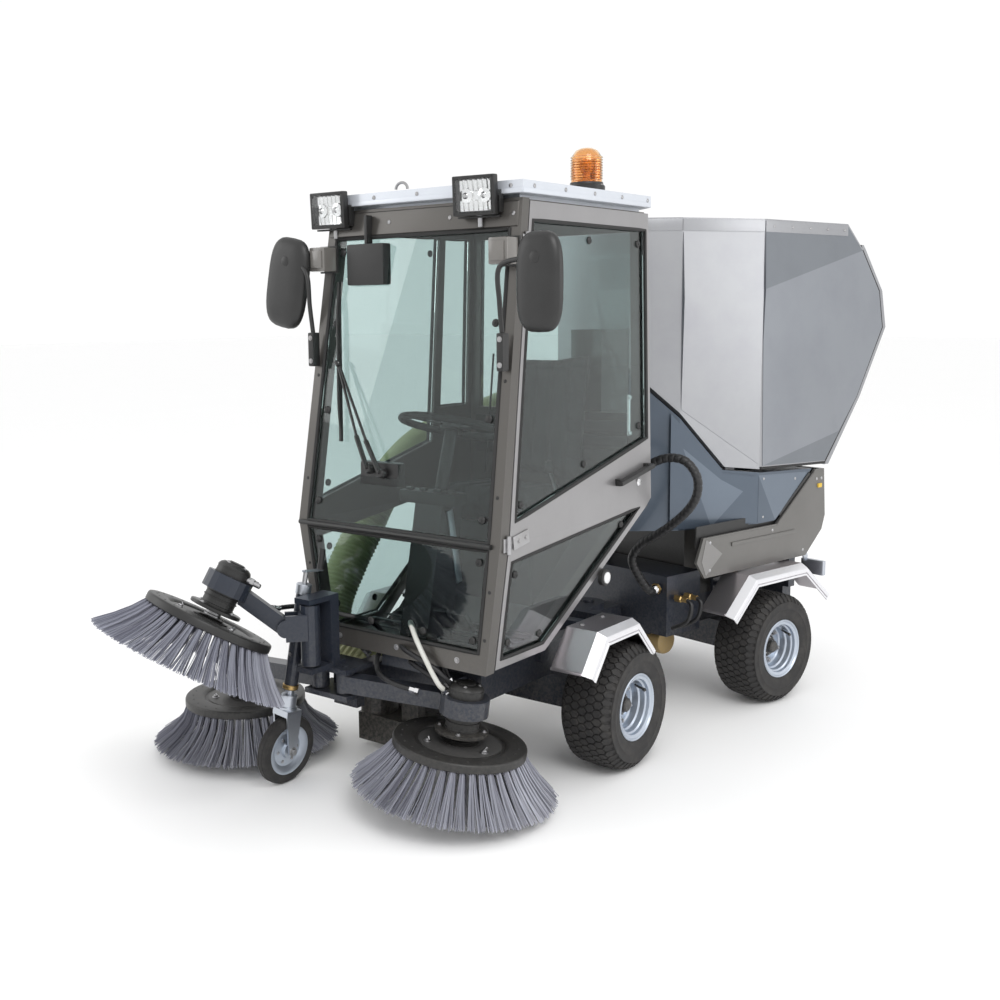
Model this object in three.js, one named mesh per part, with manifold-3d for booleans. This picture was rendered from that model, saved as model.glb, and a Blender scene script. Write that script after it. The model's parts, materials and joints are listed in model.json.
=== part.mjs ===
// An articulated street sweeper: a glazed cab module with three disc brushes in front,
// hinged at a vertical pivot to a rear module that carries the engine and the hopper.
// Millimetres, +Z up, -Y forward, +X to the driver's left, origin on the ground under the cab.
import * as THREE from 'three';
import { mergeVertices } from 'three/addons/utils/BufferGeometryUtils.js';
import Module from 'manifold-3d';

const wasm = await Module();
wasm.setup();

// ---- Driving dimensions -------------------------------------------------------------------
const FIT_GAP = 0.4; // between pieces that touch
const MOVE_GAP = 6; // between pieces that move past each other

// Wheels and axles
const TYRE_RADIUS = 229;
const TYRE_WIDTH = 206;
const RIM_SEAT_RADIUS = 104;
const RIM_FLANGE_RADIUS = 121;
const RIM_WIDTH = 184;
const RIM_WALL = 8;
const TRACK = 903;
const FRONT_AXLE_Y = -230;
const PIVOT_Y = 312.6;
const REAR_AXLE_BACK = 595; // behind the pivot
const STEER_DEGREES = 12.4; // how far the rear module stands turned
const AXLE_BEAM = 90;

// Cab
const CAB_HALF = 440;
const CAB_FRONT = -916;
const CAB_REAR = 75;
const CAB_TOP = 1988;
const CAB_BOTTOM = 482;
const KNEE_Z = 911; // the cab is longest and widest here
const TOP_HALF = 411; // half width at the top
const BOTTOM_HALF = 375; // half width at the bottom
const TOP_SETBACK = 172; // how far the windshield leans back to its top
const BOTTOM_SETBACK = 8;
const POST = 45;
const GLASS = 6;
const DOOR_THICK = 28;
const ROOF_THICK = 52;
const SIDE_POST_Y = -170; // rear post of the right-hand side

// Rear module, from the pivot
const BODY_HALF = 450;
const HOPPER_TOP = 1990;
const HOPPER_WALL = 10;
const HOPPER_FRONT = 22;
const NOSE_HALF = 200; // half width of the hopper's front face
const APRON_BOTTOM = 572;
const APRON_TOP = 735;
const SHEET = 12;
const RAIL_TOP = 420;
const RAIL_BOTTOM = 300;
const RAIL_WIDTH = 60;
const RAIL_SPACING = 340;

// Sweeper unit
const UNIT_X = -250; // the unit hangs right of the cab's centre line
const DISC_RADIUS = 225;
const DISC_THICK = 24;
const BRISTLE_RADIUS = 362;
const BRISTLE_DROP = 172; // from the disc down to the tips
const MOTOR_RADIUS = 58;
const MOTOR_LENGTH = 190;
const ARM_WIDTH = 60;
const ARM_HEIGHT = 64;
const CASTER_RADIUS = 124;
const CASTER_WIDTH = 46;

// Suction hose
const HOSE_RADIUS = 76;

// ---- Materials ----------------------------------------------------------------------------
function paint(color, roughness, metalness, extra = {}) {
  return new THREE.MeshStandardMaterial({ color, roughness, metalness, ...extra });
}
const CAB_GREY = () => paint(0x565350, 0.45, 0.3);
const PANEL_GREY = () => paint(0x8c8c8f, 0.4, 0.4);
const WARM_GREY = () => paint(0x646461, 0.45, 0.4);
const ROOF_WHITE = () => paint(0xe1e6ee, 0.35, 0.1);
const SILVER = () => paint(0xb4b6bb, 0.35, 0.8);
const SLATE_BLUE = () => paint(0x4b5a69, 0.4, 0.3);
const NAVY = () => paint(0x19202d, 0.45, 0.3);
const BLACK = () => paint(0x1b1b1e, 0.6, 0.0);
const TYRE_BLACK = () => paint(0x2d2b2d, 0.9, 0.0);
const GALVANISED = () => paint(0xaab4be, 0.4, 0.8);
const CHROME = () => paint(0xd8d8da, 0.12, 1.0);
const BRISTLE_GREY = () => paint(0x828291, 0.8, 0.0);
const HOSE_GREEN = () => paint(0x969b64, 0.6, 0.0);
const AMBER = () => paint(0xd07818, 0.2, 0.0, { transparent: true, opacity: 0.7 });
const GREEN_GLASS = () => paint(0xaabebb, 0.05, 0.0, { transparent: true, opacity: 0.35 });
const GOLD = () => paint(0x8a6a30, 0.5, 0.5);

// ---- Solids -------------------------------------------------------------------------------
function solid(geometry) {
  const bare = geometry.clone();
  bare.deleteAttribute('normal');
  bare.deleteAttribute('uv');
  const merged = mergeVertices(bare, 1e-4);
  const mesh = new wasm.Mesh({
    numProp: 3,
    vertProperties: new Float32Array(merged.attributes.position.array),
    triVerts: new Uint32Array(merged.index.array),
  });
  return new wasm.Manifold(mesh);
}

function geometryOf(body) {
  const mesh = body.getMesh();
  const geometry = new THREE.BufferGeometry();
  geometry.setAttribute('position', new THREE.BufferAttribute(new Float32Array(mesh.vertProperties), 3));
  geometry.setIndex(new THREE.BufferAttribute(new Uint32Array(mesh.triVerts), 1));
  geometry.computeVertexNormals();
  return geometry;
}

const union = (first, ...rest) => rest.reduce((sum, body) => sum.add(body), first);
const cut = (first, ...rest) => rest.reduce((left, body) => left.subtract(body), first);

// A box from its lowest and highest corners.
function block(x0, x1, y0, y1, z0, z1) {
  const geometry = new THREE.BoxGeometry(x1 - x0, y1 - y0, z1 - z0);
  geometry.translate((x0 + x1) / 2, (y0 + y1) / 2, (z0 + z1) / 2);
  return solid(geometry);
}

function outline(points) {
  const shape = new THREE.Shape();
  points.forEach(([a, b], i) => (i ? shape.lineTo(a, b) : shape.moveTo(a, b)));
  shape.closePath();
  return shape;
}

function extruded(points, depth) {
  return new THREE.ExtrudeGeometry(outline(points), { depth, bevelEnabled: false, steps: 1 });
}

// Outlines in Y and Z, given width along X.
function sidePlate(points, x0, x1) {
  const geometry = extruded(points, x1 - x0);
  geometry.applyMatrix4(new THREE.Matrix4().set(0, 0, 1, x0, 1, 0, 0, 0, 0, 1, 0, 0, 0, 0, 0, 1));
  return solid(geometry);
}

// Outlines in X and Y, given height along Z.
function floorPlate(points, z0, z1) {
  const geometry = extruded(points, z1 - z0);
  geometry.translate(0, 0, z0);
  return solid(geometry);
}

// Outlines in X and Z, given depth along Y.
function frontPlate(points, y0, y1) {
  const geometry = extruded(points, y1 - y0);
  geometry.applyMatrix4(new THREE.Matrix4().set(1, 0, 0, 0, 0, 0, -1, y1, 0, 1, 0, 0, 0, 0, 0, 1));
  return solid(geometry);
}

const vec = (p) => new THREE.Vector3(...p);

// Turns a geometry built along +Z so that it runs from one point towards another.
function alongLine(geometry, from, to) {
  const start = vec(from);
  const direction = vec(to).sub(start).normalize();
  const turn = new THREE.Quaternion().setFromUnitVectors(new THREE.Vector3(0, 0, 1), direction);
  geometry.applyQuaternion(turn);
  geometry.translate(start.x, start.y, start.z);
  return geometry;
}

function rod(from, to, radius, sides = 16) {
  const length = vec(from).distanceTo(vec(to));
  const geometry = new THREE.CylinderGeometry(radius, radius, length, sides);
  geometry.rotateX(Math.PI / 2);
  geometry.translate(0, 0, length / 2);
  return solid(alongLine(geometry, from, to));
}

// A beam of rectangular section that keeps its sides upright.
function beam(from, to, width, height) {
  const start = vec(from);
  const end = vec(to);
  const length = start.distanceTo(end);
  const forward = end.clone().sub(start).normalize();
  const across = new THREE.Vector3().crossVectors(new THREE.Vector3(0, 0, 1), forward).normalize();
  const above = new THREE.Vector3().crossVectors(forward, across);
  const geometry = new THREE.BoxGeometry(length, width, height);
  geometry.translate(length / 2, 0, 0);
  const frame = new THREE.Matrix4().makeBasis(forward, across, above).setPosition(start);
  geometry.applyMatrix4(frame);
  return solid(geometry);
}

// A turned solid about +Z; the profile lists radius and height.
function turned(profile, sides = 24) {
  const points = profile.map(([r, z]) => new THREE.Vector2(r, z));
  const geometry = new THREE.LatheGeometry(points, sides);
  geometry.rotateX(Math.PI / 2);
  return geometry;
}

function tube(points, radius, sides, steps) {
  const curve = new THREE.CatmullRomCurve3(points.map(vec), false, 'catmullrom', 0.5);
  const section = new THREE.Shape();
  section.absarc(0, 0, radius, 0, Math.PI * 2);
  section.autoClose = true;
  const ring = section.getPoints(sides / 2).slice(0, -1);
  return new THREE.ExtrudeGeometry(new THREE.Shape(ring), { steps, extrudePath: curve, bevelEnabled: false });
}

function outwards(geometry) {
  const body = solid(geometry);
  if (body.volume() > 0) return body;
  const flipped = mergeVertices(geometry.clone());
  const index = flipped.index.array;
  for (let i = 0; i < index.length; i += 3) [index[i], index[i + 1]] = [index[i + 1], index[i]];
  return solid(flipped);
}

// ---- Scene --------------------------------------------------------------------------------
const root = new THREE.Group();
const front = new THREE.Group();
const rear = new THREE.Group();
rear.position.set(0, PIVOT_Y, 0);
rear.rotation.z = THREE.MathUtils.degToRad(-STEER_DEGREES);
root.add(front, rear);

function put(group, name, body, material) {
  const mesh = new THREE.Mesh(geometryOf(body), material);
  mesh.name = name;
  group.add(mesh);
  return mesh;
}

// ---- Cab: built upright, then leaned ------------------------------------------------------
// Above the knee the sides draw in and the front leans back; below it both draw in a little.
function leanPoint(x, y, z) {
  const above = z >= KNEE_Z;
  const run = above ? (z - KNEE_Z) / (CAB_TOP - KNEE_Z) : (KNEE_Z - z) / (KNEE_Z - CAB_BOTTOM);
  const half = CAB_HALF + run * ((above ? TOP_HALF : BOTTOM_HALF) - CAB_HALF);
  const setback = run * (above ? TOP_SETBACK : BOTTOM_SETBACK);
  const share = (CAB_REAR - y) / (CAB_REAR - CAB_FRONT);
  return [(x * half) / CAB_HALF, y + setback * share, z];
}

function leanPart(body) {
  const geometry = geometryOf(body);
  const position = geometry.attributes.position;
  for (let i = 0; i < position.count; i += 1) {
    position.setXYZ(i, ...leanPoint(position.getX(i), position.getY(i), position.getZ(i)));
  }
  return solid(geometry);
}

const FAR = 4000;
function lean(body) {
  const upper = body.intersect(block(-FAR, FAR, -FAR, FAR, KNEE_Z, FAR));
  const lower = body.intersect(block(-FAR, FAR, -FAR, FAR, -FAR, KNEE_Z));
  if (lower.isEmpty()) return leanPart(upper);
  if (upper.isEmpty()) return leanPart(lower);
  return leanPart(upper).add(leanPart(lower));
}

const POST_HALF = CAB_HALF - DOOR_THICK - 4; // outer face of the posts behind the door
const DOOR_FRONT = CAB_FRONT + POST + MOVE_GAP;
const DOOR_REAR = CAB_REAR - 30;
const DOOR_TOP = CAB_TOP - 8;
const DOOR_BOTTOM = CAB_BOTTOM + 8;
const CUT_TOP = 943; // where the door's rear edge turns into the slanted cut
const CUT_FOOT_Y = -575;
const doorOutline = [
  [DOOR_FRONT, DOOR_BOTTOM],
  [CUT_FOOT_Y, DOOR_BOTTOM],
  [DOOR_REAR, CUT_TOP],
  [DOOR_REAR, DOOR_TOP],
  [DOOR_FRONT, DOOR_TOP],
];
const RIM_OF_DOOR = 26;
const BELT_REAR = 1168; // mid panel: top edge at the rear and at the front
const BELT_FRONT = 972;
const SKIRT_REAR = 948; // mid panel: bottom edge
const SKIRT_FRONT = 848;
const upperWindow = [
  [DOOR_FRONT + RIM_OF_DOOR, BELT_FRONT + 6],
  [DOOR_REAR - RIM_OF_DOOR, BELT_REAR],
  [DOOR_REAR - RIM_OF_DOOR, DOOR_TOP - 60],
  [DOOR_FRONT + RIM_OF_DOOR, DOOR_TOP - 60],
];
const lowerWindow = [
  [DOOR_FRONT + RIM_OF_DOOR, DOOR_BOTTOM + 32],
  [CUT_FOOT_Y - 20, DOOR_BOTTOM + 32],
  [DOOR_REAR - 90, SKIRT_REAR - 30],
  [DOOR_FRONT + RIM_OF_DOOR, SKIRT_FRONT],
];

// The same outline drawn in by the fit gap, for a pane or a plug.
function inset(points, amount) {
  const cy = points.reduce((s, p) => s + p[0], 0) / points.length;
  const cz = points.reduce((s, p) => s + p[1], 0) / points.length;
  return points.map(([y, z]) => {
    const away = Math.hypot(y - cy, z - cz);
    const share = (away - amount) / away;
    return [cy + (y - cy) * share, cz + (z - cz) * share];
  });
}

function mirrored(body) {
  return body.mirror([1, 0, 0]);
}

function doorFrame() {
  const x0 = CAB_HALF - DOOR_THICK;
  const leaf = sidePlate(doorOutline, x0, CAB_HALF);
  const upper = sidePlate(upperWindow, x0 - 1, CAB_HALF + 1);
  const lower = sidePlate(lowerWindow, x0 - 1, CAB_HALF + 1);
  return lean(cut(leaf, upper, lower));
}

function doorPane(windowOutline) {
  const middle = CAB_HALF - DOOR_THICK / 2;
  return lean(sidePlate(inset(windowOutline, 2), middle - GLASS / 2, middle + GLASS / 2));
}

put(front, 'left_door', doorFrame(), PANEL_GREY());
put(front, 'left_door_upper_glass', doorPane(upperWindow), GREEN_GLASS());
put(front, 'left_door_lower_glass', doorPane(lowerWindow), GREEN_GLASS());

// The right-hand side is fixed: the same outline with a post further forward.
const SIDE_REAR = SIDE_POST_Y;
const sideUpper = [
  [DOOR_FRONT + RIM_OF_DOOR, BELT_FRONT + 6],
  [SIDE_REAR - POST, BELT_REAR - 40],
  [SIDE_REAR - POST, DOOR_TOP - 60],
  [DOOR_FRONT + RIM_OF_DOOR, DOOR_TOP - 60],
];
const sideRearUpper = [
  [SIDE_REAR, 1260],
  [DOOR_REAR - RIM_OF_DOOR, 1260],
  [DOOR_REAR - RIM_OF_DOOR, DOOR_TOP - 60],
  [SIDE_REAR, DOOR_TOP - 60],
];
const sideLower = [
  [DOOR_FRONT + RIM_OF_DOOR, DOOR_BOTTOM + 32],
  [CUT_FOOT_Y - 20, DOOR_BOTTOM + 32],
  [SIDE_REAR - POST, SKIRT_REAR - 190],
  [SIDE_REAR - POST, SKIRT_REAR - 30],
  [DOOR_FRONT + RIM_OF_DOOR, SKIRT_FRONT],
];

const HEADER = 95; // height of the panel above the windshield
const WALL_X = POST_HALF - POST;
function cabFrame() {
  const posts = [];
  for (const side of [-1, 1]) {
    const x0 = side > 0 ? CAB_HALF - POST : -CAB_HALF;
    posts.push(block(x0, x0 + POST, CAB_FRONT, CAB_FRONT + POST, CAB_BOTTOM, CAB_TOP));
  }
  const cross = [
    block(-CAB_HALF, CAB_HALF, CAB_FRONT, CAB_FRONT + 30, CAB_TOP - HEADER, CAB_TOP),
    block(-CAB_HALF, CAB_HALF, CAB_FRONT, CAB_FRONT + POST, KNEE_Z - 18, KNEE_Z + 4),
    block(-CAB_HALF, CAB_HALF, CAB_FRONT, CAB_FRONT + 30, CAB_BOTTOM, CAB_BOTTOM + 70),
    block(-POST_HALF, POST_HALF, CAB_REAR - 30, CAB_REAR, CAB_TOP - 70, CAB_TOP),
    block(-POST_HALF, POST_HALF, CAB_REAR - 30, CAB_REAR, CUT_TOP - 40, 1250),
  ];
  const leftPost = block(WALL_X, POST_HALF, CAB_REAR - POST, CAB_REAR, CUT_TOP - 40, CAB_TOP);
  const leftRail = block(WALL_X, POST_HALF, CAB_FRONT + 1, CAB_REAR, CAB_TOP - 52, CAB_TOP);
  const leftSill = block(WALL_X, POST_HALF, CAB_FRONT + 1, CUT_FOOT_Y, CAB_BOTTOM, CAB_BOTTOM + 40);
  const cutPost = sidePlate(
    [
      [CUT_FOOT_Y - 60, CAB_BOTTOM],
      [CUT_FOOT_Y + 10, CAB_BOTTOM],
      [CAB_REAR, CUT_TOP],
      [CAB_REAR, CUT_TOP + 60],
      [CAB_REAR - 40, CUT_TOP + 40],
    ],
    WALL_X,
    POST_HALF,
  );
  const rightSide = cut(
    sidePlate(
      [
        [CAB_FRONT + 1, CAB_BOTTOM],
        [CUT_FOOT_Y, CAB_BOTTOM],
        [CAB_REAR, CUT_TOP],
        [CAB_REAR, CAB_TOP],
        [CAB_FRONT + 1, CAB_TOP],
      ],
      -CAB_HALF + 6,
      -CAB_HALF + 6 + DOOR_THICK,
    ),
    sidePlate(sideUpper, -CAB_HALF, -CAB_HALF + 60),
    sidePlate(sideRearUpper, -CAB_HALF, -CAB_HALF + 60),
    sidePlate(sideLower, -CAB_HALF, -CAB_HALF + 60),
  );
  const rearRight = block(-CAB_HALF + 8, -WALL_X, CAB_REAR - 30, CAB_REAR, CUT_TOP - 40, CAB_TOP);
  return lean(union(...posts, ...cross, leftPost, leftRail, leftSill, cutPost, rightSide, rearRight));
}
put(front, 'cab_frame', cabFrame(), CAB_GREY());

function sidePane(windowOutline) {
  const middle = -CAB_HALF + 6 + DOOR_THICK / 2;
  return lean(sidePlate(inset(windowOutline, 2), middle - GLASS / 2, middle + GLASS / 2));
}
put(front, 'right_upper_glass', sidePane(sideUpper), GREEN_GLASS());
put(front, 'right_rear_glass', sidePane(sideRearUpper), GREEN_GLASS());
put(front, 'right_lower_glass', sidePane(sideLower), GREEN_GLASS());

const PANE_X = CAB_HALF - POST - 2;
const upperShield = block(-PANE_X, PANE_X, CAB_FRONT + 8, CAB_FRONT + 8 + GLASS, KNEE_Z + 6, CAB_TOP - HEADER - 2);
const lowerShield = block(-PANE_X, PANE_X, CAB_FRONT + 8, CAB_FRONT + 8 + GLASS, CAB_BOTTOM + 72, KNEE_Z - 20);
put(front, 'upper_windshield', lean(upperShield), GREEN_GLASS());
put(front, 'lower_windshield', lean(lowerShield), GREEN_GLASS());
const rearPane = block(-WALL_X + 2, WALL_X - 2, CAB_REAR - 18, CAB_REAR - 18 + GLASS, 1252, CAB_TOP - 72);
put(front, 'rear_window', lean(rearPane), GREEN_GLASS());

// Roof: a low folded cap that overhangs the frame, with a shadow gap under it.
function cabRoof() {
  const z0 = CAB_TOP + FIT_GAP;
  const half = TOP_HALF;
  const y0 = CAB_FRONT + TOP_SETBACK;
  const curb = block(-half + 40, half - 40, y0 + 40, CAB_REAR - 20, z0, z0 + 14);
  const cap = floorPlate(
    [
      [-half - 14, y0 - 20],
      [half + 14, y0 - 20],
      [half + 14, CAB_REAR - 30],
      [half - 60, CAB_REAR + 30],
      [-half + 60, CAB_REAR + 30],
      [-half - 14, CAB_REAR - 30],
    ],
    z0 + 12,
    z0 + ROOF_THICK,
  );
  return union(curb, cap);
}
put(front, 'cab_roof', cabRoof(), ROOF_WHITE());

const COLUMN_FOOT = [0, -662, 985];
const COLUMN_TOP = [0, -590, 1225];

// Floor, footwell, seat box and steering console in one weldment.
const FLOOR_TOP = CAB_BOTTOM + 14;
function cabFloor() {
  const inner = WALL_X - 2;
  const y0 = CAB_FRONT + 32;
  const pan = block(-inner, inner, y0, CUT_FOOT_Y, CAB_BOTTOM, FLOOR_TOP);
  const ramp = sidePlate(
    [
      [CUT_FOOT_Y - 1, CAB_BOTTOM],
      [CUT_FOOT_Y + 10, CAB_BOTTOM],
      [CAB_REAR - 48, CUT_TOP - 10],
      [CAB_REAR - 48, CUT_TOP + 4],
      [CAB_REAR - 60, CUT_TOP + 4],
      [CUT_FOOT_Y - 1, FLOOR_TOP],
    ],
    -inner,
    inner,
  );
  const seatBox = sidePlate(
    [
      [-440, FLOOR_TOP + 60],
      [-60, CUT_TOP - 100],
      [-60, 880],
      [-440, 880],
    ],
    -230,
    230,
  );
  const console_ = sidePlate(
    [
      [y0 + 60, FLOOR_TOP - 1],
      [y0 + 200, FLOOR_TOP - 1],
      [-610, 960],
      [-640, 1010],
      [-720, 990],
    ],
    -60,
    60,
  );
  const column = rod(COLUMN_FOOT, COLUMN_TOP, 24);
  return union(lean(union(pan, ramp)), seatBox, console_, column);
}
put(front, 'cab_floor', cabFloor(), CAB_GREY());

function steeringWheel() {
  const rim = new THREE.TorusGeometry(180, 14, 8, 28);
  const spoke = new THREE.BoxGeometry(350, 40, 12);
  const hub = new THREE.CylinderGeometry(40, 40, 26, 16);
  hub.rotateX(Math.PI / 2);
  const wheel = union(solid(rim), solid(spoke), solid(hub));
  const geometry = geometryOf(wheel);
  geometry.translate(0, 0, 13 + FIT_GAP);
  return geometry;
}
function steeringWheelMesh() {
  const mesh = new THREE.Mesh(steeringWheel(), BLACK());
  mesh.name = 'steering_wheel';
  mesh.position.set(...COLUMN_TOP);
  mesh.quaternion.setFromUnitVectors(new THREE.Vector3(0, 0, 1), vec(COLUMN_TOP).sub(vec(COLUMN_FOOT)).normalize());
  return mesh;
}
front.add(steeringWheelMesh());

// Seat: soft pads as plain closed solids.
const SEAT_BOX_TOP = 880;
const cushion = sidePlate(
  [
    [-470, SEAT_BOX_TOP + 4],
    [-70, SEAT_BOX_TOP + 4],
    [-70, SEAT_BOX_TOP + 96],
    [-440, SEAT_BOX_TOP + 118],
    [-490, SEAT_BOX_TOP + 80],
  ],
  -235,
  235,
);
put(front, 'seat_cushion', cushion, BLACK());
const backrest = sidePlate(
  [
    [-118, SEAT_BOX_TOP + 106],
    [-20, SEAT_BOX_TOP + 98],
    [28, SEAT_BOX_TOP + 600],
    [-44, SEAT_BOX_TOP + 610],
  ],
  -225,
  225,
);
put(front, 'seat_back', backrest, BLACK());

// Beacon on the roof's rear left.
const beaconProfile = [
  [0, 0],
  [64, 0],
  [64, 30],
  [54, 38],
  [50, 120],
  [34, 148],
  [0, 152],
];
function placed(mesh, x, y, z) {
  mesh.position.set(x, y, z);
  return mesh;
}
const ROOF_TOP = CAB_TOP + ROOF_THICK + FIT_GAP;
placed(put(front, 'beacon', outwards(turned(beaconProfile)), AMBER()), 330, -240, ROOF_TOP + FIT_GAP);

// Mirrors: a bracket on the post, a bent arm and an upright oblong head.
const MIRROR_THICK = 44;
function mirror(side, { at, width, height, roll }) {
  const bracket = block(0, 26, -36, -1, -60, 60);
  const arm = outwards(
    tube(
      [
        [13, -20, 50],
        [13, -34, 150],
        [18, -40, 260],
        [at[0] - 40, at[1] + 4, at[2] + height * 0.24],
        [at[0], at[1], at[2] + height * 0.24],
      ],
      8,
      8,
      12,
    ),
  );
  const shell = block(-width / 2, width / 2, -MIRROR_THICK / 2, MIRROR_THICK / 2, -height / 2, height / 2);
  const piece = union(bracket, arm, shell.rotate([0, roll, 0]).translate(at));
  return side > 0 ? piece : mirrored(piece);
}
const leftHead = { at: [176, -64, 211], width: 160, height: 300, roll: 0 };
const rightHead = { at: [132, -28, 233], width: 190, height: 320, roll: -12 };
const BRACKET_Z = 1511;
const bracketAt = leanPoint(CAB_HALF - 30, CAB_FRONT, BRACKET_Z);
placed(put(front, 'left_mirror', mirror(1, leftHead), BLACK()), bracketAt[0], bracketAt[1] - 12, BRACKET_Z);
placed(put(front, 'right_mirror', mirror(-1, rightHead), BLACK()), -bracketAt[0], bracketAt[1] - 12, BRACKET_Z);

// ---- Front frame --------------------------------------------------------------------------
const RAIL_X = RAIL_SPACING / 2;
const PIN_RADIUS = 24;
const TONGUE_LOW = 332;
const TONGUE_HIGH = 398;
// The steering cylinder lies under both frames, on a pin below each.
const STEER_Z = 250;
const STEER_PIN = 12;
const STEER_EYE = [-RAIL_X, 60, STEER_Z];
const STEER_EYE_REAR = [-150, 190];
const STEER_PLATE = 285; // underside of the plate above the rod's eye
const PIN_HOLE = 13;
// The tipping cylinder stands beside the engine, from the rear frame to a lug on the hopper.
const TIP_X = 300;
const TIP_BASE = [TIP_X, 590, 450];
const TIP_LUG = [TIP_X, 490, 930];
const LUG_X = TIP_X + 28;
function rails(y0, y1) {
  return [-1, 1].map((side) => {
    const middle = side * RAIL_X;
    return block(middle - RAIL_WIDTH / 2, middle + RAIL_WIDTH / 2, y0, y1, RAIL_BOTTOM, RAIL_TOP);
  });
}
function frontFrame() {
  const cross = [
    block(-RAIL_X, RAIL_X, -700, -640, RAIL_BOTTOM, RAIL_TOP),
    block(-RAIL_X, RAIL_X, -260, -200, RAIL_BOTTOM, RAIL_TOP),
    block(-RAIL_X - 30, RAIL_X + 30, 150, 200, RAIL_BOTTOM - 10, RAIL_TOP + 10),
  ];
  const mounts = [
    block(-RAIL_X - 30, RAIL_X + 30, -640, -600, RAIL_TOP - 1, CAB_BOTTOM - FIT_GAP),
    block(-90, 90, -880, -620, RAIL_TOP + 14, RAIL_TOP + 40),
    block(-90, 90, -880, -840, RAIL_TOP + 20, CAB_BOTTOM - FIT_GAP),
    rod([STEER_EYE[0], STEER_EYE[1], STEER_Z - 22], [STEER_EYE[0], STEER_EYE[1], RAIL_BOTTOM + 5], STEER_PIN),
  ];
  const ears = [
    [RAIL_BOTTOM - 10, TONGUE_LOW - 3],
    [TONGUE_HIGH + 3, RAIL_TOP + 10],
  ].map(([z0, z1]) => {
    const plate = block(-70, 70, 190, PIVOT_Y, z0, z1);
    return union(plate, rod([0, PIVOT_Y, z0], [0, PIVOT_Y, z1], 70, 24));
  });
  const hole = rod([0, PIVOT_Y, 200], [0, PIVOT_Y, 500], PIN_RADIUS + 3, 24);
  return cut(union(...rails(-700, 200), ...cross, ...mounts, ...ears), hole);
}
put(front, 'front_frame', frontFrame(), NAVY());

// ---- Wheels -------------------------------------------------------------------------------
const WHEEL_X = TRACK / 2;
const half = TYRE_WIDTH / 2;
const BEAD = RIM_WIDTH / 2 - RIM_WALL - FIT_GAP;
const tyreSide = [
  [RIM_SEAT_RADIUS + FIT_GAP, BEAD],
  [RIM_FLANGE_RADIUS + 1.5, BEAD],
  [RIM_FLANGE_RADIUS + 4, half - 10],
  [150, half],
  [185, half],
  [TYRE_RADIUS - 16, half - 7],
  [TYRE_RADIUS - 4, half - 24],
  [TYRE_RADIUS, half - 52],
];
const tyreProfile = [...tyreSide, ...[...tyreSide].reverse().map(([r, z]) => [r, -z]), tyreSide[0]];
const WEB = 14; // inner face of the wheel disc, outboard of the wheel's middle
const barrel = RIM_SEAT_RADIUS - RIM_WALL;
const lip = RIM_WIDTH / 2;
const rimProfile = [
  [0, WEB],
  [barrel - 8, WEB],
  [barrel, WEB - 10],
  [barrel, -lip],
  [RIM_FLANGE_RADIUS, -lip],
  [RIM_FLANGE_RADIUS, -lip + RIM_WALL],
  [RIM_SEAT_RADIUS, -lip + RIM_WALL],
  [RIM_SEAT_RADIUS, lip - RIM_WALL],
  [RIM_FLANGE_RADIUS, lip - RIM_WALL],
  [RIM_FLANGE_RADIUS, lip],
  [barrel, lip],
  [barrel, WEB + 26],
  [barrel - 12, WEB + 12],
  [0, WEB + 12],
];

function wheel(group, where, side, y) {
  for (const [part, profile, material] of [
    ['tyre', tyreProfile, TYRE_BLACK()],
    ['rim', rimProfile, GALVANISED()],
  ]) {
    const mesh = put(group, `${where}_${part}`, outwards(turned(profile, 28)), material);
    mesh.position.set(side * WHEEL_X, y, TYRE_RADIUS);
    mesh.rotation.y = (side * Math.PI) / 2;
  }
}
wheel(front, 'front_left', 1, FRONT_AXLE_Y);
wheel(front, 'front_right', -1, FRONT_AXLE_Y);
wheel(rear, 'rear_left', 1, REAR_AXLE_BACK);
wheel(rear, 'rear_right', -1, REAR_AXLE_BACK);

function axle() {
  const reach = WHEEL_X + WEB - FIT_GAP;
  const h = AXLE_BEAM / 2;
  const tubePart = block(-WHEEL_X + 120, WHEEL_X - 120, -h, h, -h, RAIL_BOTTOM - TYRE_RADIUS - FIT_GAP);
  const hub = rod([-reach, 0, 0], [reach, 0, 0], 34);
  const drums = [-1, 1].map((side) => rod([side * (WHEEL_X - 122), 0, 0], [side * (WHEEL_X - 20), 0, 0], 78, 20));
  return union(tubePart, hub, ...drums);
}
placed(put(front, 'front_axle', axle(), NAVY()), 0, FRONT_AXLE_Y, TYRE_RADIUS);
placed(put(rear, 'rear_axle', axle(), NAVY()), 0, REAR_AXLE_BACK, TYRE_RADIUS);

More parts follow.
